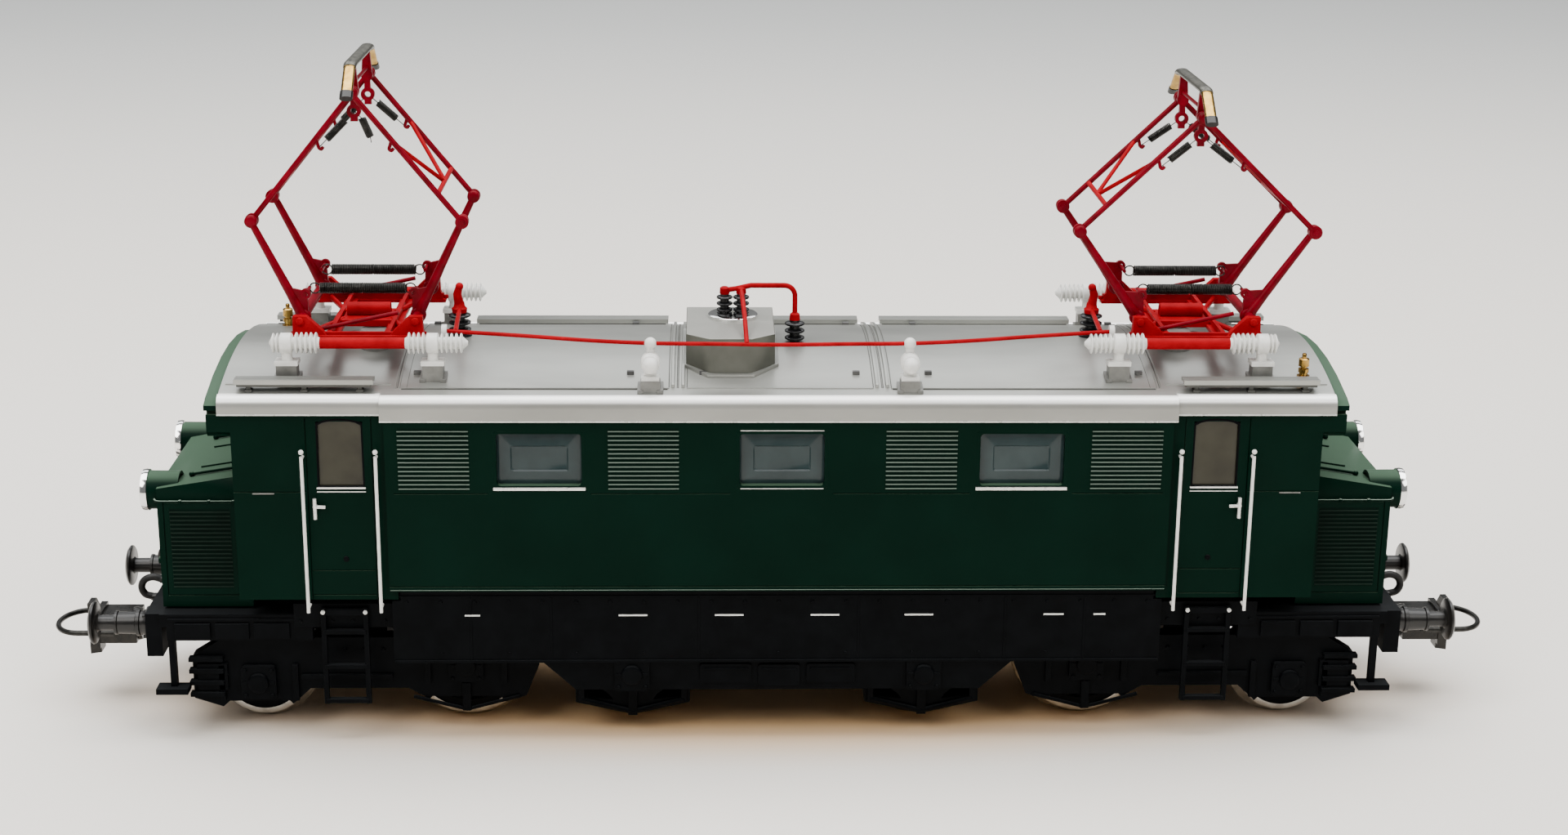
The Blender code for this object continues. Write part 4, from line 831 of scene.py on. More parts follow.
def roof():
    """The silver roof with its gutter beads in painted highlight and shade, ribs, lugs, and thin dark strips
    of painted shade beside the ribs, along the sides and at the ends.
    """
    main, cab = (ROOF_HIGH.y, ROOF_LOW.z), (ROOF_HIGH.y - 0.4, ROOF_LOW.z + 0.7)
    stations = [(-ROOF_END, cab), (-ROOF_STEP - 0.05, cab), (-ROOF_STEP, main), (ROOF_STEP, main),
                (ROOF_STEP + 0.05, cab), (ROOF_END, cab)]
    skin = Form().loft([[(x, y, z) for y, z in roof_profile(*shape)] for x, shape in stations])
    made = skin.piece("roof_skin", SILVER, "roof_silver", bevel=0.07, stands_for=["roof_shell"], smooth=38)
    # The gutter beads get the finish with their painted highlight and painted shade.
    made.data.materials.append(GUTTER)
    for face in made.data.polygons:
        face.material_index = int(abs(face.center.y) > GUTTER_Y * MM)
    lips = Form()
    for _, side in SIDES:
        for x, half, bottom in (((-ROOF_STEP, ROOF_STEP), *main), (flip((ROOF_STEP, ROOF_END), -1), *cab),
                                ((ROOF_STEP, ROOF_END), *cab)):
            lips.tube([(end, side * (half - 0.08), bottom + 0.08) for end in x], 0.11, 8)
    lips.piece("gutter_lips", TRIM, "roof_silver")
    seams, shade_lines, lugs, grooves = Form(), Form(), Form(), Form()
    for _, sign in ENDS:
        for x in RIB_X:
            across_roof(seams, sign * x, 0.26, 14.7, 0.36)
        # Thin dark strips of painted shade beside the ribs; more follow at the end ribs and along the sides.
        for x in SHADE_STRIP_X:
            across_roof(grooves, sign * x, 0.09, 14.75, 0.03)
        for x in END_RIB_X:
            across_roof(seams, sign * x, 0.10, 14.9, 0.14)
        across_roof(grooves, sign * 43.3, 0.04, 14.9, 0.02)
        seams.turned([(43.0, 3.7), (46.05, 3.7), (46.35, 3.55)], "Z", (sign * HATCH_X, 0, 0), 48)
        for _, side in SIDES:
            seams.box(flip((12.9, 43.9), sign), flip(LONG_SEAM[0], side), LONG_SEAM[1])
            seams.box(flip((45.2, 64.3), sign), (side * 13.9, side * 14.1), (43.9, 44.22))
            # Black strips standing just proud at the ends: painted shade for the shadowed gaps there.
            shade_lines.box(flip((50.0, 62.6), sign), (side * 12.5, side * 12.9), (44.2, roof_height(12.7) + 0.10))
            # A dark strip of painted shade along the side of the roof.
            grooves.box(flip((13.1, 43.9), sign), (side * 15.02, side * 15.12), (43.6, 43.90))
            for x in (9.0, 17.5, 42.4):
                z = (44.4, roof_height(11.5) + 0.36)
                lugs.box(flip(about(x, 0.42), sign), (side * 11.2, side * 11.8), z)
    for _, side in SIDES:
        seams.box((-10.9, 10.9), flip(LONG_SEAM[0], side), LONG_SEAM[1])
    seams.piece("roof_seams", SILVER, "roof_silver", bevel=0.03)
    grooves.piece("roof_shade_strips", PAINTED_SHADE, "roof_silver")
    shade_lines.piece("roof_shade_lines", BLACK, "frame_black")
    lugs.piece("roof_lugs", CASTING, "die_cast", bevel=0.05)
    boards()


def board(planks, legs, x, y, level, posts):
    """A footboard with turned-down edges and two grooves, on small posts, with two dark stringers below it
    that stand for the shadow under the board.
    """
    low, high = sorted(y)
    top, thick, groove, lip = level + 0.46, 0.30, 0.07, 0.14
    grooves = [low + (high - low) * share for share in (1 / 3, 2 / 3)]
    outline = [(low, level - 0.12), (low + lip, level - 0.12), (low + lip, top - thick),
               (high - lip, top - thick), (high - lip, level - 0.12), (high, level - 0.12), (high, top)]
    for middle in reversed(grooves):
        outline += [(middle + groove, top), (middle + groove, top - 0.12), (middle - groove, top - 0.12),
                    (middle - groove, top)]
    outline.append((low, top))
    planks.prism(outline, "X", x)
    for inner, outer in ((low + 0.1, low + 0.4), (high - 0.4, high - 0.1)):
        legs.box((x[0] + 0.3, x[1] - 0.3), (inner, outer), (level - 0.42, level - 0.05))
    centre = (low + high) / 2
    for k in range(posts):
        leg_x = x[0] + (x[1] - x[0]) * (k + 0.25) / (posts - 0.5)
        foot = roof_height(abs(centre)) - 0.2
        legs.box(about(leg_x, 0.28), about(centre, 0.5), (foot, level + 0.12))
        legs.box(about(leg_x, 0.42), about(centre, 0.7), (foot, foot + 0.32))


def boards():
    """Footboards along both sides above the cabs, and along the far side of the main roof."""
    planks, legs = Form(), Form()
    for _, sign in ENDS:
        for _, side in SIDES:
            board(planks, legs, flip((47.0, 63.0), sign), (side * 14.2, side * 16.0), BOARD_Z, 3)
    for _, side in SIDES[1:]:
        for x in ((-37.6, -13.4), (-10.6, 10.6), (13.4, 37.6)):
            board(planks, legs, x, (side * 12.4, side * 14.4), BOARD_Z, 4)
    planks.piece("roof_footboards", SILVER, "roof_silver", bevel=0.03)
    # The posts and stringers take the dark painted-shade grey, as the shadow under the boards.
    legs.piece("footboard_posts", PAINTED_SHADE, "roof_silver", bevel=0.04)


def whistles():
    """Two turned brass whistles, one above each cab."""
    profile = [(-0.2, 0.75), (0.15, 0.75), (0.18, 0.5), (0.5, 0.5), (0.52, 0.62), (0.95, 0.62), (1.0, 0.36),
               (1.2, 0.36), (1.25, 0.62), (2.1, 0.62), (2.2, 0.5), (2.24, 0.26), (2.7, 0.26), (2.8, 0.18)]
    for name, x, y in (("whistle_1", -60.7, 9.0), ("whistle_2", 61.9, -12.0)):
        Form().turned(profile, "Z", (x, y, roof_height(y)), 32).piece(name, BRASS, "brass")


def transformer():
    """The roof box as the CAD has it, with a raised rim round its foot."""
    box = Form("transformer_cover")
    box.piece("transformer_box", BOX_GREY, "roof_silver", bevel=0.12, stands_for=["transformer_cover"])
    low, high = box_of("transformer_cover")
    corner, out, steps = 2.6, 0.45, 6
    back, shoulder, front = high.y + out, low.y + corner - 0.2, low.y - out
    foot = [(low.x - out, back), (low.x - out, shoulder), (low.x + corner - 0.1, front),
            (high.x - corner + 0.1, front), (high.x + out, shoulder), (high.x + out, back)]
    points = []
    for (x, y), (next_x, next_y) in zip(foot, foot[1:] + foot[:1]):
        points += [(x + (next_x - x) * k / steps, y + (next_y - y) * k / steps) for k in range(steps)]
    rim = Form().loft([[(x, y, roof_height(y) + z) for x, y in points] for z in (0.0, 0.38)])
    rim.piece("transformer_rim", SILVER, "roof_silver", bevel=0.05)


def bushings_and_conductor():
    """Black bushings with red caps, the black post, and the red conductor that joins them."""
    low, high = box_of("bushing_pair")
    centre_x, y = (low.x + high.x) / 2, (low.y + high.y) / 2
    flange = [(low.z - 0.1, 3.0), (low.z + 0.22, 3.0), (low.z + 0.32, 2.85), (low.z + 0.32, 2.2),
              (low.z + 0.1, 2.0), (low.z - 0.1, 2.0)]
    ring = Form().turned(flange, "Z", (centre_x, y, 0), 48, True)
    ring.piece("bushing_ring", CHROME, "motor_steel")
    posts, red = Form(), Form()
    bushing = [(low.z, 1.0), (low.z + 0.35, 0.95)] + ribs(low.z + 0.4, high.z, 3, 0.55, 0.98)
    cap = [(high.z - 0.05, 0.50), (high.z + 0.1, 0.62), (high.z + 0.75, 0.58), (high.z + 0.9, 0.35)]
    for x in about(centre_x, 1.0):
        posts.turned(bushing, "Z", (x, y, 0), 32)
        red.turned(cap, "Z", (x, y, 0), 24)
    post_x, post_top = 2.1, 48.7
    post_cap = [(post_top - 0.1, 0.5), (post_top, 0.66), (post_top + 0.7, 0.6), (post_top + 0.9, 0.36)]
    posts.turned(ribs(46.05, post_top, 3, 0.62, 1.2), "Z", (post_x, y, 0), 32)
    red.turned(post_cap, "Z", (post_x, y, 0), 24)
    posts.piece("bushings", RIB_BLACK, "insulator_black", stands_for=["bushing_pair"])
    half_run = [(0.0, RUN_Y, RUN_Z - 0.1), (8.0, RUN_Y, RUN_Z), (15.1, RUN_Y - 0.1, RUN_Z + 0.1),
                (22.0, -12.8, 49.1), (30.0, -11.4, 49.3), (LEAD_X, LEAD_Y, LEAD_Z)]
    run = [(-x, across, z) for x, across, z in half_run[:0:-1]] + half_run
    red.tube(smooth_path(run, 4), 0.24)
    dropper = [(centre_x + 1.0, y, high.z + 0.6), (centre_x + 1.3, -7.0, 50.9),
               (centre_x + 1.5, RUN_Y, RUN_Z)]
    red.tube(smooth_path(dropper, 6), 0.28)
    bend, arch_z = 1.3, 52.95
    corner = [(post_x - bend + px, y, arch_z - bend + pz) for px, pz in arc((0, 0), bend, 90, 0, 8)]
    arch = [(centre_x - 1.0, y, 52.35), (centre_x + 0.4, y, 52.55), (centre_x + 2.2, y, arch_z)] + corner
    red.tube(arch + [(post_x, y, 49.0)], 0.32)
    red.piece("roof_wiring", RED, "panto_red", stands_for=["roof_conductor"])


def smooth_path(points, steps):
    """A Catmull-Rom curve through the points."""
    points = [Vector(p) for p in points]
    padded = [points[0] * 2 - points[1]] + points + [points[-1] * 2 - points[-2]]
    made = []
    for k in range(1, len(padded) - 2):
        a, b, c, d = padded[k - 1:k + 3]
        for s in range(steps):
            t = s / steps
            made.append(0.5 * (2 * b + (c - a) * t + (2 * a - 5 * b + 4 * c - d) * t ** 2
                               + (3 * b - a - 3 * c + d) * t ** 3))
    return made + [points[-1]]


def saddle(form, x, y, half_x, half_y, top):
    """A foot on the arch, with a low flange at both of its ends."""
    low, high = y - half_y, y + half_y
    outline = [(low, roof_height(low) - 0.05), (high, roof_height(high) - 0.05), (high, top), (low, top)]
    form.prism(outline, "X", about(x, half_x))
    for dx in (-half_x, half_x):
        edge = [(low - 0.15, roof_height(low) - 0.08), (high + 0.1, roof_height(high) - 0.08),
                (high + 0.1, roof_height(high) + 0.35), (low - 0.15, roof_height(low) + 0.35)]
        form.prism(edge, "X", (x + dx - 0.35, x + dx + 0.35))


def standoffs():
    """Ribbed insulators lying across on saddles, each with a ball end and a post to the conductor."""
    for end, _ in ENDS:
        low, high = box_of(f"standoff_insulator_{end}")
        x, y = (low.x + high.x) / 2, (low.y + high.y) / 2
        feet, white = Form(), Form()
        saddle(feet, x, y, 1.15, 0.95, 44.95)
        white.box(about(x, 1.05), (y - 0.75, y + 0.9), (44.9, 45.45))
        white.box(about(x, 0.75), (y - 0.2, y + 0.7), (45.4, 46.2))
        lying = [(y - 0.9, 0.5)] + ribs(y - 0.6, y + 1.7, 3, 0.8, 1.12) + [(y + 1.8, 0.5)]
        white.turned(lying, "Y", (x, 0, STANDOFF_Z), 28)
        white.turned([(47.6, 0.5), (48.6, 0.5)], "Z", (x, RUN_Y - 0.05, 0), 20)
        balls = Form().ball((x, y - 0.95, STANDOFF_Z), 0.95, rings=16, sides=32)
        balls.ball((x, RUN_Y - 0.1, RUN_Z + 0.08), 0.72, rings=16, sides=28)
        feet.piece(f"standoff_saddle_{end}", SADDLE, "roof_silver", bevel=0.06)
        white.piece(f"standoff_porcelain_{end}", WHITE, "porcelain_white", bevel=0.10,
                    stands_for=[f"standoff_insulator_{end}"])
        balls.piece(f"standoff_ball_{end}", WHITE, "porcelain_white")


def disconnectors():
    """Black posts with a red lever and a red lead to the white ring at the conductor's end."""
    for end, sign in ENDS:
        name = f"disconnector_{end}"
        top = box_of(name)[1].z
        x, y = sign * 38.6, 1.4
        base = roof_height(y)
        profile = [(base - 0.1, 1.5), (base + 0.3, 1.4)] + ribs(base + 0.35, 49.0, 3, 0.65, 1.35)
        post = Form().turned(profile, "Z", (x, y, 0), 32)
        post.piece(f"disconnector_post_{end}", RIB_BLACK, "insulator_black", stands_for=[name])
        tip_x, tip_y = x - sign * 0.1, y - 0.4
        lever = Form().turned([(48.9, 0.9), (49.4, 0.95), (49.6, 0.7), (50.2, 0.6)], "Z", (x, y, 0), 24)
        bar = [(x, y, 49.8), (x + sign * 0.2, y - 0.2, 51.2), (tip_x, tip_y, top - 0.3)]
        lever.tube(bar, 0.62, 16, 0.42)
        lever.ball((tip_x, tip_y, top - 0.45), 0.5)
        lever.tube([(x, y, 49.3), (x - sign * 0.6, LEAD_Y, LEAD_Z)], 0.28)
        lever.piece(f"disconnector_lever_{end}", RED, "panto_red")
        ring = Form().turned([(-0.3, 0.36), (-0.3, 0.78), (0.3, 0.78), (0.3, 0.36)], "X",
                             (sign * (LEAD_X + 0.1), LEAD_Y, LEAD_Z), 28, True)
        ring.piece(f"conductor_ring_{end}", WHITE, "porcelain_white")


# ---------------------------------------------------------------- pantographs

def base_pivots(end):
    """The pivots of the two lower arms, and the level between them along the locomotive."""
    a, b = PIVOT[f"pantograph_{end}_raise"], PIVOT[f"pantograph_{end}_lower_b_turn"]
    return a, b, (a.x + b.x) / 2


def insulators(end, sign):
    """White ribbed insulators in line, with clamps on silver saddles, and the red tube between them."""
    centre = base_pivots(end)[2] - INSULATOR_SHIFT[end]
    for word, side in SIDES:
        y = side * INSULATOR_Y
        white, red, feet = Form(), Form(), Form()
        axis_point = (0, y, INSULATOR_Z)
        outer = [(-13.0, 0.25), (-12.7, 0.5)] + ribs(-12.5, -9.7, 5, 0.72, 1.16)
        outer += ribs(-8.1, -5.9, 4, 0.72, 1.24) + [(-5.8, 0.66), (-5.6, 0.6)]
        inner = [(4.0, 0.6), (4.2, 0.66)] + ribs(4.3, 7.1, 5, 0.72, 1.24) + ribs(8.8, 9.7, 2, 0.72, 1.16)
        inner += [(9.75, 0.5), (9.95, 0.25)]
        for profile in (outer, inner):
            white.turned([(centre + sign * x, r) for x, r in profile], "X", axis_point, 32)
        for offset in (-8.9, 8.0):
            x = centre + sign * offset
            white.turned([(-0.7, 1.05), (-0.6, 1.2), (0.6, 1.2), (0.7, 1.05)], "X", (x, y, INSULATOR_Z), 32)
            white.turned([(46.6, 0.75), (47.0, 0.62), (48.2, 0.62)], "Z", (x, y, 0), 24)
            white.box(about(x, 1.35), about(y, 1.05), (46.2, 46.7))
            saddle(feet, x, y, 1.2, 1.0, 46.3)
        red.turned([(centre + sign * x, r) for x, r in ((-5.8, 0.5), (-5.7, 0.68), (4.1, 0.68), (4.2, 0.5))],
                   "X", axis_point, 24)
        white.piece(f"pantograph_{end}_porcelain_{word}", WHITE, "porcelain_white",
                    stands_for=[f"pantograph_{end}_insulators_{word}"])
        red.piece(f"pantograph_{end}_tube_{word}", RED, "panto_red")
        feet.piece(f"pantograph_{end}_saddles_{word}", SADDLE, "roof_silver", bevel=0.06)


def base_frame(end, sign):
    """The red frame: side channels, cross beams, towers and coupling rods, over its cylinder."""
    a, b, centre = base_pivots(end)
    low, high = box_of(f"pantograph_{end}_base")
    floor = low.z
    form = Form()
    for _, side in SIDES:
        form.box((low.x, high.x), (side * 9.2, side * 10.9), (floor, floor + 0.45))
        for y, rise in (((9.35, 9.75), 1.2), ((10.35, 10.75), 1.0)):
            form.box((low.x + 0.3, high.x - 0.3), flip(y, side), (floor + 0.3, floor + rise))
        form.box(about(centre, 3.4), (side * 10.8, side * 12.3), (floor + 0.1, floor + 0.6))
        for pivot in (a, b):
            x, z = pivot.x, pivot.z
            toe, heel, right, left = (1.2, 3.4, 0.75, 0.85) if pivot is a else (3.4, 1.2, 0.85, 0.75)
            tower = [(x - toe, floor + 0.3), (x + heel, floor + 0.3), (x + heel * 0.75, floor + 1.5),
                     (x + right, z + 0.6), (x - left, z + 0.6), (x - toe * 0.75, floor + 1.5)]
            form.prism(tower, "Y", (side * 9.3, side * 10.3))
            cap = [(side * 10.2, 0.5), (side * 10.5, 0.46), (side * 10.56, 0.25)]
            form.turned(cap, "Y", (x, 0, z), 20)
            for bolt_x in about(x, 1.5):
                bolt = [(floor + 0.4, 0.32), (floor + 0.85, 0.30)]
                form.turned(bolt, "Z", (bolt_x, side * 10.05, 0), 6)
    for x in (-4.2, 2.6):
        form.box((centre + x, centre + x + 1.6), (-9.4, 9.4), (floor + 0.05, floor + 0.5))
        form.box((centre + x + 0.55, centre + x + 1.05), (-9.4, 9.4), (floor + 0.3, floor + 1.2))
    form.box(about(centre, 3.0), (-3.0, 3.0), (floor + 0.1, floor + 0.9))
    form.turned([(centre - 2.6, 0.9), (centre + 2.6, 0.9)], "X", (0, 0, floor + 1.5), 24)
    for side in (-1, 1):
        for x in (-1, 1):
            form.tube([(centre + x * 2.9, side * 1.6, floor + 0.7),
                       (centre + x * 5.9, side * 8.9, floor + 0.8)], 0.34, 10)
    form.piece(f"pantograph_{end}_base_frame", RED, "panto_red", bevel=0.07,
               stands_for=[f"pantograph_{end}_base"])
    rods, half, y = Form(), 4.6, 8.7
    for side in (-1, 1):
        rods.tube([(centre - half, side * y, a.z - 1.3), (centre + half, side * y, a.z + 0.7)], 0.26, 12)
    rods.piece(f"pantograph_{end}_coupling_rods", DEEP_RED, "panto_red")
    profile = [(roof_height(0) - 0.4, 1.9), (floor - 0.2, 1.9), (floor, 1.7)]
    post = Form().turned(profile, "Z", (centre - sign * 1.1, -3.5, 0), 40)
    post.piece(f"pantograph_{end}_cylinder", SADDLE, "roof_silver")


def pin(form, point, y, radius, sides):
    """A round pin between two distances from the locomotive's middle."""
    form.turned([(end_y, radius) for end_y in sorted(y)], "Y", (point.x, 0, point.z), sides)


def ring_eye(form, point, y, half, inner, outer, sides):
    """A flat ring with a hole, standing across at y."""
    low, high = about(y, half)
    profile = [(low, inner), (low, outer), (high, outer), (high, inner)]
    form.turned(profile, "Y", (point.x, 0, point.z), sides, True)


def knee_joint(form, point, y, radius=0.76):
    """A flat round knuckle with a domed face on both sides."""
    form.turned([(y - 0.42, radius * 0.55), (y - 0.36, radius * 0.85), (y - 0.2, radius), (y + 0.2, radius),
                 (y + 0.36, radius * 0.85), (y + 0.42, radius * 0.55)], "Y", (point.x, 0, point.z), 24)


def spring_lug(pivot, arm):
    """Where a main spring's pin stands above the pivot of its arm."""
    return pivot + Vector((-arm * 0.40, 0, 2.7))


def lower_arms(end):
    """Tapered legs on a cross tube, with knuckles, webs and the pins that hold the main springs."""
    for letter, arm, pivot in zip("ab", (-1, 1), base_pivots(end)):
        knee = PIVOT[f"pantograph_{end}_knee_{letter}"]
        leg_y, upper_y = ARM_Y[letter]
        form = Form()
        pin(form, pivot, (-9.9, 9.9), 0.58, 24)
        lug = spring_lug(pivot, arm)
        out = (knee - pivot).normalized()
        for side in (-1, 1):
            y = side * leg_y
            form.tube([at_y(pivot, y), at_y(pivot + out * 3.0, y), at_y(knee, y)], 0.70, 18, 0.40)
            knee_joint(form, pivot, y, 0.95)
            knee_joint(form, knee, y)
            reach = (upper_y - 0.5, leg_y + 0.3) if leg_y > upper_y else (leg_y - 0.3, upper_y + 0.5)
            pin(form, knee, flip(reach, side), 0.33, 16)
            web = [pivot + Vector((-arm * 0.7, 0, -0.4)), lug + Vector((-arm * 0.25, 0, -0.8)),
                   lug + Vector((arm * 0.10, 0, 0.35)), pivot + out * 3.9, pivot]
            form.prism([(p.x, p.z) for p in web], "Y", about(y, 0.24))
            ring_eye(form, lug, y, 0.3, 0.28, 0.62, 20)
            pin(form, lug, flip((SPRING_Y - 0.3, leg_y + 0.2), side), 0.22, 14)
        name = f"pantograph_{end}_lower_arm_{letter}"
        form.piece(f"{name}_frame", DEEP_RED, "panto_red", f"pantograph_{end}_lower_{letter}",
                   stands_for=[name])


def hook_point(end, letter):
    """Where the small spring hooks on to an upper arm, inside the frame."""
    knee, apex = PIVOT[f"pantograph_{end}_knee_{letter}"], PIVOT[f"pantograph_{end}_apex"]
    inward = 1 if letter == "a" else -1
    return knee.lerp(apex, 0.62) + Vector((inward * 0.55, 0, -0.75))


def upper_arms(end):
    """Thin rods from knee to apex with knuckles and spring hooks, a cross bar and its braces."""
    for letter in "ab":
        knee, apex = PIVOT[f"pantograph_{end}_knee_{letter}"], PIVOT[f"pantograph_{end}_apex"]
        y_level = ARM_Y[letter][1]
        cross, brace_top = knee.lerp(apex, 0.22), knee.lerp(apex, 0.60)
        hook = hook_point(end, letter)
        rods, brace = Form(), Form()
        for side in (-1, 1):
            y = side * y_level
            rods.tube([at_y(knee, y), at_y(apex, y)], 0.34, 14)
            knee_joint(rods, apex, y, 0.78)
            knuckle = [(y - 0.34, 0.5), (y - 0.3, 0.8), (y + 0.3, 0.8), (y + 0.34, 0.5)]
            rods.turned(knuckle, "Y", (knee.x, 0, knee.z), 24)
            start = at_y(knee.lerp(apex, 0.64), y)
            tip = at_y(hook, y)
            curl = [start, start.lerp(tip, 0.55), tip, tip + Vector((0.28, 0, -0.18)),
                    tip + Vector((0.5, 0, 0.1))]
            rods.tube(smooth_path(curl, 3), 0.21, 8)
            brace.tube([at_y(cross, side * 0.2), at_y(brace_top, side * (y_level - 0.12))], 0.26, 12)
        brace.tube([at_y(cross, -y_level), at_y(cross, y_level)], 0.30, 12)
        body_name = f"pantograph_{end}_upper_{letter}"
        name = f"pantograph_{end}_upper_arm_{letter}"
        rods.piece(f"{name}_rods", DEEP_RED, "panto_red", body_name, stands_for=[name])
        brace.piece(f"{name}_brace", RED, "panto_red", body_name)


def head(end):
    """The collector: worn strip, brass horns with black tips, and two carriers with ring eyes."""
    apex = PIVOT[f"pantograph_{end}_apex"]
    body_name = f"pantograph_{end}_pan"
    level = apex.z + HEAD_RISE + 0.28
    flat, bend, droop = 7.0, 2.4, 0.80
    curved = bend * 0.75

    def height(y):
        """Level in the middle, then curved down, then straight down to the horn's tip."""
        past = max(abs(y) - flat, 0.0)
        if past < curved:
            return level - past ** 2 / (2 * bend)
        return level - 0.28 * bend - (past - curved) * droop

    def path(start, stop, steps):
        """Points along the collector between two distances from its middle."""
        return [(apex.x, start + (stop - start) * k / steps, height(start + (stop - start) * k / steps))
                for k in range(steps + 1)]

    strip_end, horn, tip = 8.1, (7.9, 11.3), (11.2, 12.0)
    strip = Form().band(path(-strip_end, strip_end, 36), 0.76, 0.40)
    horns, tips, carriers = Form(), Form(), Form()
    x, eye = apex.x, apex - Vector((0, 0, RING_DROP))
    waist, shoulder, top = apex.z - 0.6, apex.z + 0.3, level - 0.1
    blade = [(x - 0.42, apex.z - 3.5), (x + 0.42, apex.z - 3.5), (x + 0.34, waist), (x + 0.62, shoulder),
             (x + 0.40, top), (x - 0.40, top), (x - 0.62, shoulder), (x - 0.34, waist)]
    for side in (-1, 1):
        horns.band(path(side * horn[0], side * horn[1], 12), 0.68, 0.34)
        tips.band(path(side * tip[0], side * tip[1], 4), 0.76, 0.42)
        y = side * CARRIER_Y
        hole = Form()
        pin(hole, eye, about(y, 1.0), 0.36, 20)
        carriers.add(Form().prism(blade, "Y", about(y, 0.3)).cut(hole))
        ring_eye(carriers, eye, y, 0.32, 0.38, 0.82, 28)
        pin(carriers, apex, flip((5.9, 7.3), side), 0.33, 16)
        pin(carriers, apex, about(y, 0.4), 0.7, 20)
    carriers.tube([(apex.x, -6.0, apex.z + 0.9), (apex.x, 6.0, apex.z + 0.9)], 0.22)
    strip.piece(f"pantograph_{end}_contact_strip", PAN, "wire_dark", body_name,
                stands_for=[f"pantograph_{end}_head"])
    horns.piece(f"pantograph_{end}_horns", BRASS, "brass", body_name)
    tips.piece(f"pantograph_{end}_horn_tips", SATIN, "insulator_black", body_name)
    carriers.piece(f"pantograph_{end}_carriers", DEEP_RED, "panto_red", body_name)


def main_springs(end):
    """Two springs on pins inside the lower arms, each in two halves, left in place without a body to ride on.
    """
    a, b, _ = base_pivots(end)
    lug_a, lug_b = spring_lug(a, -1), spring_lug(b, 1)
    for word, side in SIDES:
        y = side * SPRING_Y
        middle = at_y((lug_a + lug_b) / 2, y)
        for letter, lug in (("a", lug_a), ("b", lug_b)):
            anchor = at_y(lug, y)
            inward = (middle - anchor).normalized()
            loop_centre = anchor + inward * 0.66
            stop = anchor + inward * 1.2
            form = Form().tube(helix(middle, stop, 0.56, 24), 0.11, 6)
            loop = [loop_centre + Vector((math.cos(t) * 0.62, 0, math.sin(t) * 0.62)) for t in turns(18)]
            form.tube(loop, 0.09, 6, looped=True)
            spring = form.piece(f"pantograph_{end}_spring_{word}_{letter}", SPRING, "wire_dark", body=None)
            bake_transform(spring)


def head_springs(end):
    """Small springs from the carriers' ring eyes to the hooks; one hangs loose from its eye."""
    apex = PIVOT[f"pantograph_{end}_apex"]
    for word, side in SIDES:
        ring = Vector((apex.x, side * CARRIER_Y, apex.z - RING_DROP))
        for letter in "ab":
            hook = hook_point(end, letter)
            anchor = Vector((hook.x, side * ARM_Y[letter][1], hook.z))
            along = (ring - anchor).normalized()
            loose = end == 1 and word == "front" and letter == "b"
            if loose:
                start = ring + Vector((0.9, 0, -0.9))
                stop = ring + Vector((1.75, 0, -3.0))
                wires = ([ring, start], [stop, stop + Vector((0.1, 0, -0.7))])
            else:
                middle = (ring - anchor).length * 0.48
                start, stop = anchor + along * (middle - 1.5), anchor + along * (middle + 1.5)
                wires = ([ring - along * 0.5, ring - along * 1.0, stop], [anchor, start])
            form = Form().tube(helix(start, stop, 0.38, 16), 0.095, 6)
            for wire in wires:
                form.tube(wire, 0.06, 6)
            name = f"pantograph_{end}_head_spring_{word}_{letter}"
            if loose:
                form.piece(name, SPRING, "wire_dark", f"pantograph_{end}_pan")
            elif letter == "a":
                spring = form.piece(name, SPRING, "wire_dark", body=None)
                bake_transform(spring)
            else:
                form.piece(name, SPRING, "wire_dark", f"pantograph_{end}_upper_b")


def pantographs():
    """Both pantographs with everything they stand on."""
    for end, sign in ENDS:
        insulators(end, sign)
        base_frame(end, sign)
        lower_arms(end)
        upper_arms(end)
        head(end)
        main_springs(end)
        head_springs(end)


# ---------------------------------------------------------------- running gear and underframe

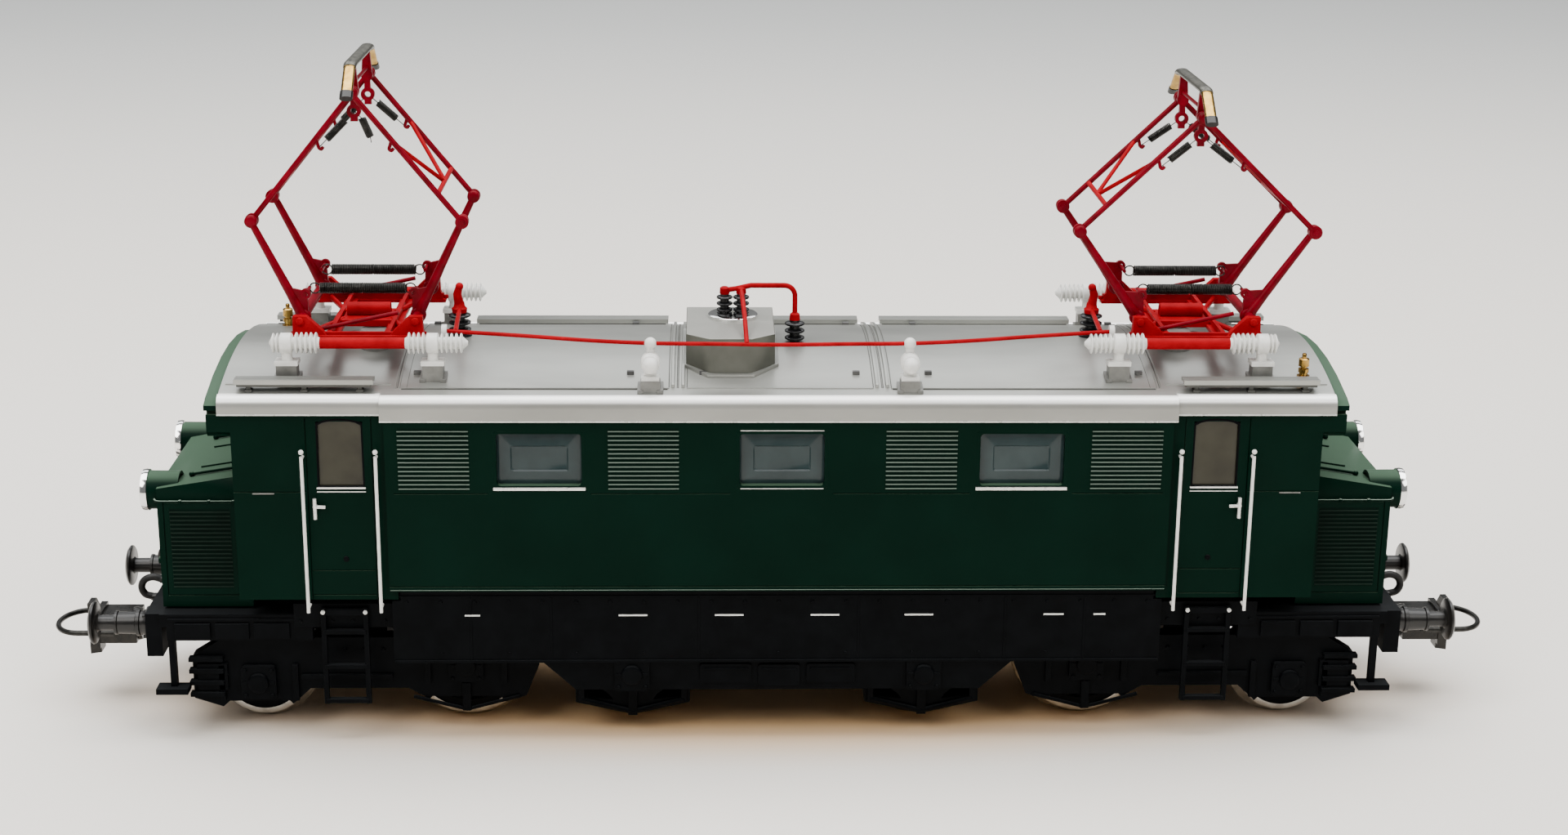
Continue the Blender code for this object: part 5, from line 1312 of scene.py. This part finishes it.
def wheelset(node, body_name, gear):
    """Spoked wheels with bright tyres on a steel axle; a driven axle carries its gear."""
    low, high = box_of(node)
    centre = (low + high) / 2
    flange = (high.z - low.z) / 2
    tread = flange - 1.0
    back, face = 7.2, 10.0
    tyres, centres, axle = Form(), Form(), Form()
    middle = (centre.x, 0, centre.z)
    for side in (-1, 1):
        rim = tread - 0.85
        profile = [(back, rim), (back, flange - 0.3), (back + 0.15, flange - 0.04), (back + 0.4, flange),
                   (back + 0.62, flange - 0.15), (back + 0.85, tread + 0.12), (back + 1.05, tread),
                   (face - 0.15, tread - 0.12), (face, tread - 0.3), (face, rim)]
        tyres.turned([(side * y, r) for y, r in profile], "Y", middle, 72, True)
        inner = [(back + 0.4, rim - 0.9), (back + 0.4, rim + 0.1), (face - 0.25, rim + 0.1),
                 (face - 0.25, rim - 0.9)]
        centres.turned([(side * y, r) for y, r in inner], "Y", middle, 48, True)
        hub = [(back + 0.1, 1.05), (back + 0.1, 2.0), (face - 0.35, 2.0), (face - 0.05, 1.5),
               (face - 0.05, 1.05)]
        centres.turned([(side * y, r) for y, r in hub], "Y", middle, 32, True)
        for a in turns(12 if tread > 7 else 10):
            out, across = Vector((math.sin(a), 0, math.cos(a))), Vector((math.cos(a), 0, -math.sin(a)))
            rings = []
            for reach, half in ((1.6, 0.5), (rim - 0.6, 0.34)):
                spot = Vector(middle) + out * reach
                section = ((-half, back + 0.8), (half, back + 0.8), (half, face - 0.6), (-half, face - 0.6))
                rings.append([spot + across * h + Vector((0, side * y, 0)) for h, y in section])
            centres.loft(rings)
    axle.turned([(-11.4, 0.6), (-11.0, 1.0), (11.0, 1.0), (11.4, 0.6)], "Y", middle, 24)
    tyres.piece(f"{node}_tyres", TYRE, "wheel_metal", body_name, stands_for=[node])
    centres.piece(f"{node}_centres", BLACK, "frame_black", body_name)
    axle.piece(f"{node}_axle", TYRE, "wheel_metal", body_name)
    if gear:
        teeth, radius = 28, 5.0
        outline = []
        foot = radius - 0.5
        tooth = ((0.0, radius - 0.55), (0.2, foot), (0.35, radius), (0.65, radius), (0.8, foot))
        for a in turns(teeth):
            for share, r in tooth:
                angle = a + 2 * math.pi * share / teeth
                outline.append((centre.x + r * math.sin(angle), centre.z + r * math.cos(angle)))
        gear_form = Form().prism(outline, "Y", (-1.5, 1.5))
        gear_form.piece(f"{node}_gear", WHITE, "porcelain_white", body_name)


def bolt_row(form, points, y, radii):
    """Round bolt heads that stand out across the locomotive, one at each point along and up."""
    for x, z in points:
        form.turned(list(zip(y, radii)), "Y", (x, 0, z), 8)


def leaf_spring(form, x, y, z, half_length, leaves):
    """A stack of bowed leaves held by a buckle in the middle."""
    for k in range(leaves):
        reach = half_length * (1 - 0.16 * k)
        points = []
        for s in range(9):
            share = s / 4 - 1
            points.append((x + reach * share, z - 0.34 * k + 0.9 * (reach / half_length * share) ** 2))
        upper = points + [(px, pz - 0.26) for px, pz in reversed(points)]
        form.prism(upper, "Y", y)
    form.box(about(x, 0.6), (y[0] - 0.1, y[1] + 0.1), (z - 0.34 * leaves - 0.1, z + 0.25))


def axle_box(form, x, side, z, y_face):
    """An axle box with a ribbed round cover and four bolts."""
    inner, outer = side * (y_face - 0.3), side * (y_face + 0.5)
    form.prism(rounded(about(x, 2.1), about(z, 2.1), 0.5, 3), "Y", sorted((inner, outer)))
    cover = [(side * y_face, 1.35), (side * (y_face + 0.9), 1.2), (side * (y_face + 1.0), 0.8)]
    form.turned(cover, "Y", (x, 0, z), 24)
    form.box(about(x, 1.9), (side * y_face, side * (y_face + 0.62)), about(z, 0.2))
    corners = [(bolt_x, bolt_z) for bolt_x in about(x, 1.6) for bolt_z in about(z, 1.6)]
    bolt_row(form, corners, (side * y_face, side * (y_face + 0.7)), (0.28, 0.24))


def underframe():
    """The black underframe: the CAD shape with openings, boxes, springs, bolts and plain plates."""
    openings = Form()
    for x in (-AXLE_X, AXLE_X):
        for flank in (-1, 1):
            outline = [(x + flank * 2.4, 4.3), (x + flank * 6.1, 4.7), (x + flank * 6.1, 5.7),
                       (x + flank * 4.9, 6.6), (x + flank * 2.9, 5.0)]
            openings.prism(outline, "Y", (-14.5, -10.0))
            openings.prism(outline, "Y", (10.0, 14.5))
    frame_form = Form("underframe").cut(openings)
    frame_form.piece("underframe_moulding", BLACK, "frame_black", bevel=0.10, stands_for=["underframe"])
    details, plates, bolts = Form(), Form(), Form()
    for _, side in SIDES:
        def out(start, reach):
            """A span out from a distance across, on this side."""
            return (side * start, side * (start + reach))

        details.box((-45.6, 45.6), out(SILL_Y - 0.3, 0.5), (10.45, 10.75))
        details.box((-45.6, 45.6), out(SILL_Y - 0.3, 0.42), (18.75, 18.95))
        for x in (-36.5, -27.0, -9.5, 9.5, 27.0, 36.5):
            details.box(about(x, 0.12), out(SILL_Y - 0.2, 0.28), (10.8, 18.7))
        for k in range(23):
            x = -44.0 + 4.0 * k
            bolt_row(bolts, [(x, 18.1)], out(SILL_Y - 0.1, 0.26), (0.24, 0.2))
            if k % 2:
                bolt_row(bolts, [(x, 11.6)], out(SILL_Y - 0.1, 0.24), (0.2, 0.16))
        for x0, x1, z0, z1 in ((-9.4, -3.2, 7.6, 10.0), (3.4, 9.2, 7.6, 10.0), (-2.4, 2.6, 7.2, 9.9)):
            details.prism(rounded((x0, x1), (z0, z1), 0.3, 2), "Y", sorted(out(BAND_Y - 0.2, 0.55)))
            details.box((x0 + 0.4, x1 - 0.4), out(BAND_Y + 0.2, 0.3), (z1 - 0.7, z1 - 0.5))
        for x in (-AXLE_X, AXLE_X):
            axle_box(details, x, side, 8.7, BAND_Y)
            leaf_spring(details, x, sorted(out(BAND_Y - 0.2, 0.7)), 14.0, 5.2, 4)
            details.box(about(x, 0.55), out(13.4, 0.75), (2.5, 6.8))
            for flank in (-1, 1):
                arm_x = x + flank * 6.2
                details.box(about(arm_x, 0.35), out(13.4, 0.7), (4.1, 7.6))
                details.tube([(arm_x, side * 13.9, 4.5), (x, side * 13.9, 2.9)], 0.32, 8)
                stay = [(x + flank * 6.1, side * 13.8, 6.6), (x + flank * 5.4, side * 15.4, 12.6)]
                details.tube(stay, 0.30, 8)
        plate_spans = [about(x, 1.7) for x in (-17.3, -5.9, 5.5, 16.7)]
        for x in (about(-36.3, 0.9), *plate_spans, about(32.8, 1.2), about(38.3, 0.7)):
            plates.box(x, out(SILL_Y - 0.05, 0.16), (16.35, 16.53))
        for _, sign in ENDS:
            details.box(flip((57.5, 72.6), sign), out(14.6, 0.35), (15.1, 15.4))
            for x in ((58.2, 62.4), (63.0, 67.0), (67.6, 71.8)):
                details.box(flip(x, sign), out(14.6, 0.5), (12.9, 14.8))
            row = [(sign * x, 15.2) for x in (46.8, 50.6, 53.0, 56.8)]
            bolt_row(bolts, row, (side * 15.0, side * 15.3), (0.22, 0.18))
    for _, sign in ENDS:
        for y in (-12.6, -7.4, -5.2, 5.2, 7.4, 12.6):
            for z in (11.3, 14.9):
                bolts.turned([(sign * BEAM_X, 0.24), (sign * (BEAM_X + 0.3), 0.2)], "X", (0, y, z), 8)
    details.piece("underframe_details", BLACK, "frame_black", bevel=0.04)
    bolts.piece("underframe_bolts", BLACK, "frame_black")
    plates.piece("underframe_plates", RAIL_WHITE, "porcelain_white")


def bogie(end, sign):
    """The bogie's CAD shape, arched below, with axle boxes, guides, a truss rod and ribbed ends."""
    name = f"bogie_{end}"
    arches = Form()
    for _, side in SIDES:
        for foot, crown, top in (((57.0, 68.4), (59.0, 66.2), 4.0), ((31.4, 44.0), (33.6, 41.8), 4.5)):
            outline = [(foot[0], 2.0), (foot[1], 2.0), (crown[1], top), (crown[0], top)]
            arches.prism([(sign * x, z) for x, z in outline], "Y", (side * 10.4, side * 13.0))
    moulding = Form(f"{name}_frame").cut(arches)
    moulding.piece(f"{name}_moulding", BLACK, "frame_black", name, bevel=0.10, stands_for=[f"{name}_frame"])
    details = Form()
    driven, carrying = PIVOT[f"driven_wheelset_{end}_spin"], PIVOT[f"carrying_wheelset_{end}_spin"]
    for _, side in SIDES:
        span = sorted((side * 12.7, side * 13.3))
        for axle, reach in ((driven, 4.6), (carrying, 4.4)):
            axle_box(details, axle.x, side, axle.z, 13.0)
            for x in about(axle.x, reach):
                details.box(about(x, 0.35), span, (axle.z - 2.4, axle.z + 2.2))
        truss = ((driven.x - 6.4, 4.6), (driven.x, 2.9), (driven.x + 6.4, 4.6))
        details.tube([(x, side * 13.0, z) for x, z in truss], 0.24, 8)
        details.box(about(driven.x, 0.5), span, (2.8, 6.4))
        row = [(sign * x, 10.6) for x in (47.5, 49.8, 52.1, 54.4)]
        bolt_row(details, row, (side * 12.6, side * 13.1), (0.3, 0.26))
        details.box(flip((46.4, 57.4), sign), span, (7.0, 7.5))
        details.box(flip((66.2, 69.8), sign), span, (5.6, 9.0))
        for z in (4.9, 6.4, 7.9, 9.4):
            details.box(flip((66.6, 70.7), sign), (side * 12.6, side * 13.7), (z, z + 0.5))
    details.piece(f"{name}_details", BLACK, "frame_black", name, bevel=0.03)


def running_gear():
    """The bogies and all six wheelsets."""
    for end, sign in ENDS:
        bogie(end, sign)
        for kind, gear in (("frame", False), ("driven", True), ("carrying", False)):
            wheelset(f"{kind}_wheelset_{end}", f"{kind}_wheelset_{end}_body", gear)


def ladders():
    """The ladders' CAD shapes with softened edges, and bright bolts near their tops."""
    for end, _ in ENDS:
        for word, side in SIDES:
            node = f"ladder_{end}_{word}"
            low, high = box_of(node)
            steps = Form(node)
            steps.piece(f"steps_{end}_{word}", BLACK, "frame_black", bevel=0.06, stands_for=[node])
            bolts = Form()
            y_face = side * max(abs(low.y), abs(high.y))
            for x in (low.x + 0.3, high.x - 0.3):
                bolt = [(y_face + side * out, r) for out, r in ((-0.2, 0.26), (0.12, 0.26), (0.2, 0.15))]
                bolts.turned(bolt, "Y", (x, 0, high.z - 0.35), 16)
            bolts.piece(f"step_bolts_{end}_{word}", TRIM, "motor_steel")


def buffers():
    """Turned buffers: a flange with bolts, a stepped sleeve, a plunger and a domed head."""
    for end, sign in ENDS:
        for word, _ in SIDES:
            node = f"buffer_{end}_{word}"
            low, high = box_of(node)
            y, z = (low.y + high.y) / 2, (low.z + high.z) / 2
            foot = min(abs(low.x), abs(high.x))
            face = max(abs(low.x), abs(high.x))
            sleeve = ((0.0, 2.0), (0.55, 2.0), (0.6, 1.6), (1.0, 1.45), (1.3, 1.45), (1.4, 1.62), (1.8, 1.62),
                      (1.9, 1.4), (4.0, 1.32), (4.1, 1.45), (4.4, 1.45), (4.5, 0.95))
            plunger = ((1.1, 0.95), (0.9, 1.15), (0.85, 2.35), (0.7, 2.56), (0.5, 2.6), (0.25, 2.35),
                       (0.06, 1.7), (0.0, 0.9))
            profile = [(foot + x, r) for x, r in sleeve] + [(face - x, r) for x, r in plunger]
            form = Form().turned([(sign * x, r) for x, r in profile], "X", (0, y, z), 48)
            bolt = [(sign * (foot + 0.4), 0.25), (sign * (foot + 0.85), 0.22)]
            for bolt_y in about(y, 1.3):
                for bolt_z in about(z, 1.3):
                    form.turned(bolt, "X", (0, bolt_y, bolt_z), 8)
            form.piece(f"buffer_{end}_{word}_turning", SATIN, "frame_black", stands_for=[node])


def couplers():
    """Coupler heads with ribs, a trip pin below and the bent wire loop."""
    for end, sign in ENDS:
        pivot = PIVOT[f"coupler_{end}_swing"]
        hinge = PIVOT[f"coupler_loop_{end}_lift"]
        z = pivot.z
        body_name = f"coupler_{end}"
        form = Form(f"coupler_head_{end}")
        form.piece(f"coupler_casting_{end}", GUNMETAL, "frame_black", body_name, bevel=0.10,
                   stands_for=[f"coupler_head_{end}"])
        detail = Form()
        for x in (73.6, 76.6, 78.8):
            detail.box(flip((x, x + 0.4), sign), (-1.75, 1.75), (z - 1.15, z + 0.95))
        detail.box(flip((74.0, 79.4), sign), (-0.45, 0.45), (z + 0.6, z + 1.2))
        collar = [(sign * 79.0, 1.9), (sign * 79.9, 2.15), (sign * 80.2, 2.1)]
        detail.turned(collar, "X", (0, 0, z - 0.3), 28)
        detail.box(flip((83.9, 84.75), sign), (-2.75, 2.75), (z - 2.6, z + 1.7))
        trip = ((76.2, z - 0.8), (77.0, z - 0.8), (76.9, 5.3), (76.3, 5.6))
        detail.prism([(sign * x, level) for x, level in trip], "Y", (-0.35, 0.35))
        detail.piece(f"coupler_details_{end}", GUNMETAL, "frame_black", body_name, bevel=0.07)
        node = f"coupler_loop_{end}"
        low, high = box_of(node)
        tip = max(abs(low.x), abs(high.x)) - 0.35
        half = 3.95
        bow = [(tip - 3.2 + 3.2 * math.sin(a), -half * math.cos(a))
               for a in [math.pi * k / 20 for k in range(21)]]
        route = [(abs(hinge.x), -half)] + bow + [(abs(hinge.x), half)]
        wire = Form().tube([(sign * x, y, z) for x, y in route], 0.34, 16)
        wire.tube([(hinge.x, -4.4, z), (hinge.x, 4.4, z)], 0.32, 16)
        wire.piece(f"coupler_wire_{end}", SPRING, "wire_dark", f"{node}_body", stands_for=[node])


def hoses():
    """C-shaped air hoses on round stubs, and a plate between them on the buffer beam."""
    for end, sign in ENDS:
        hose, brackets = Form(), Form()
        route = [(75.0, 17.0), (76.2, 17.3), (77.2, 16.9), (77.6, 16.0), (77.2, 15.1), (76.3, 14.8)]
        for y in (-5.6, 5.6):
            hose.tube(smooth_path([(sign * x, y, z) for x, z in route], 5), 0.44, 14)
            brackets.turned([(sign * 73.3, 0.5), (sign * BEAM_X, 0.46)], "X", (0, y, 17.0), 16)
            brackets.turned([(sign * BEAM_X, 0.52), (sign * 76.5, 0.46)], "X", (0, y, 14.75), 16)
        brackets.box(flip((BEAM_X, 75.75), sign), (-1.6, 1.6), (12.2, 14.8))
        hose.piece(f"air_hoses_{end}", RUBBER, "insulator_black")
        brackets.piece(f"beam_brackets_{end}", SATIN, "frame_black", bevel=0.04)


# ---------------------------------------------------------------- the CAD nodes that stay

def carried_over():
    """Materials for the CAD nodes that show as they are, most of them inside the body."""
    looks = {"chassis_frame": CASTING, "motor": MOTOR, "motor_rotor": BRASS, "circuit_board": BOARD}
    for end, _ in ENDS:
        looks[f"cab_{end}_glazing"] = DOOR_GLAZING
        looks[f"cardan_shaft_{end}"] = RIB_BLACK
        looks[f"worm_{end}"] = BRASS
    for node, surface in looks.items():
        mesh = frame["nodes"][node].data
        mesh.materials.clear()
        mesh.materials.append(surface)


camera()
studio()
body()
body_lips()
windows()
cabs()
roof()
whistles()
transformer()
bushings_and_conductor()
standoffs()
disconnectors()
pantographs()
underframe()
running_gear()
ladders()
buffers()
couplers()
hoses()
carried_over()
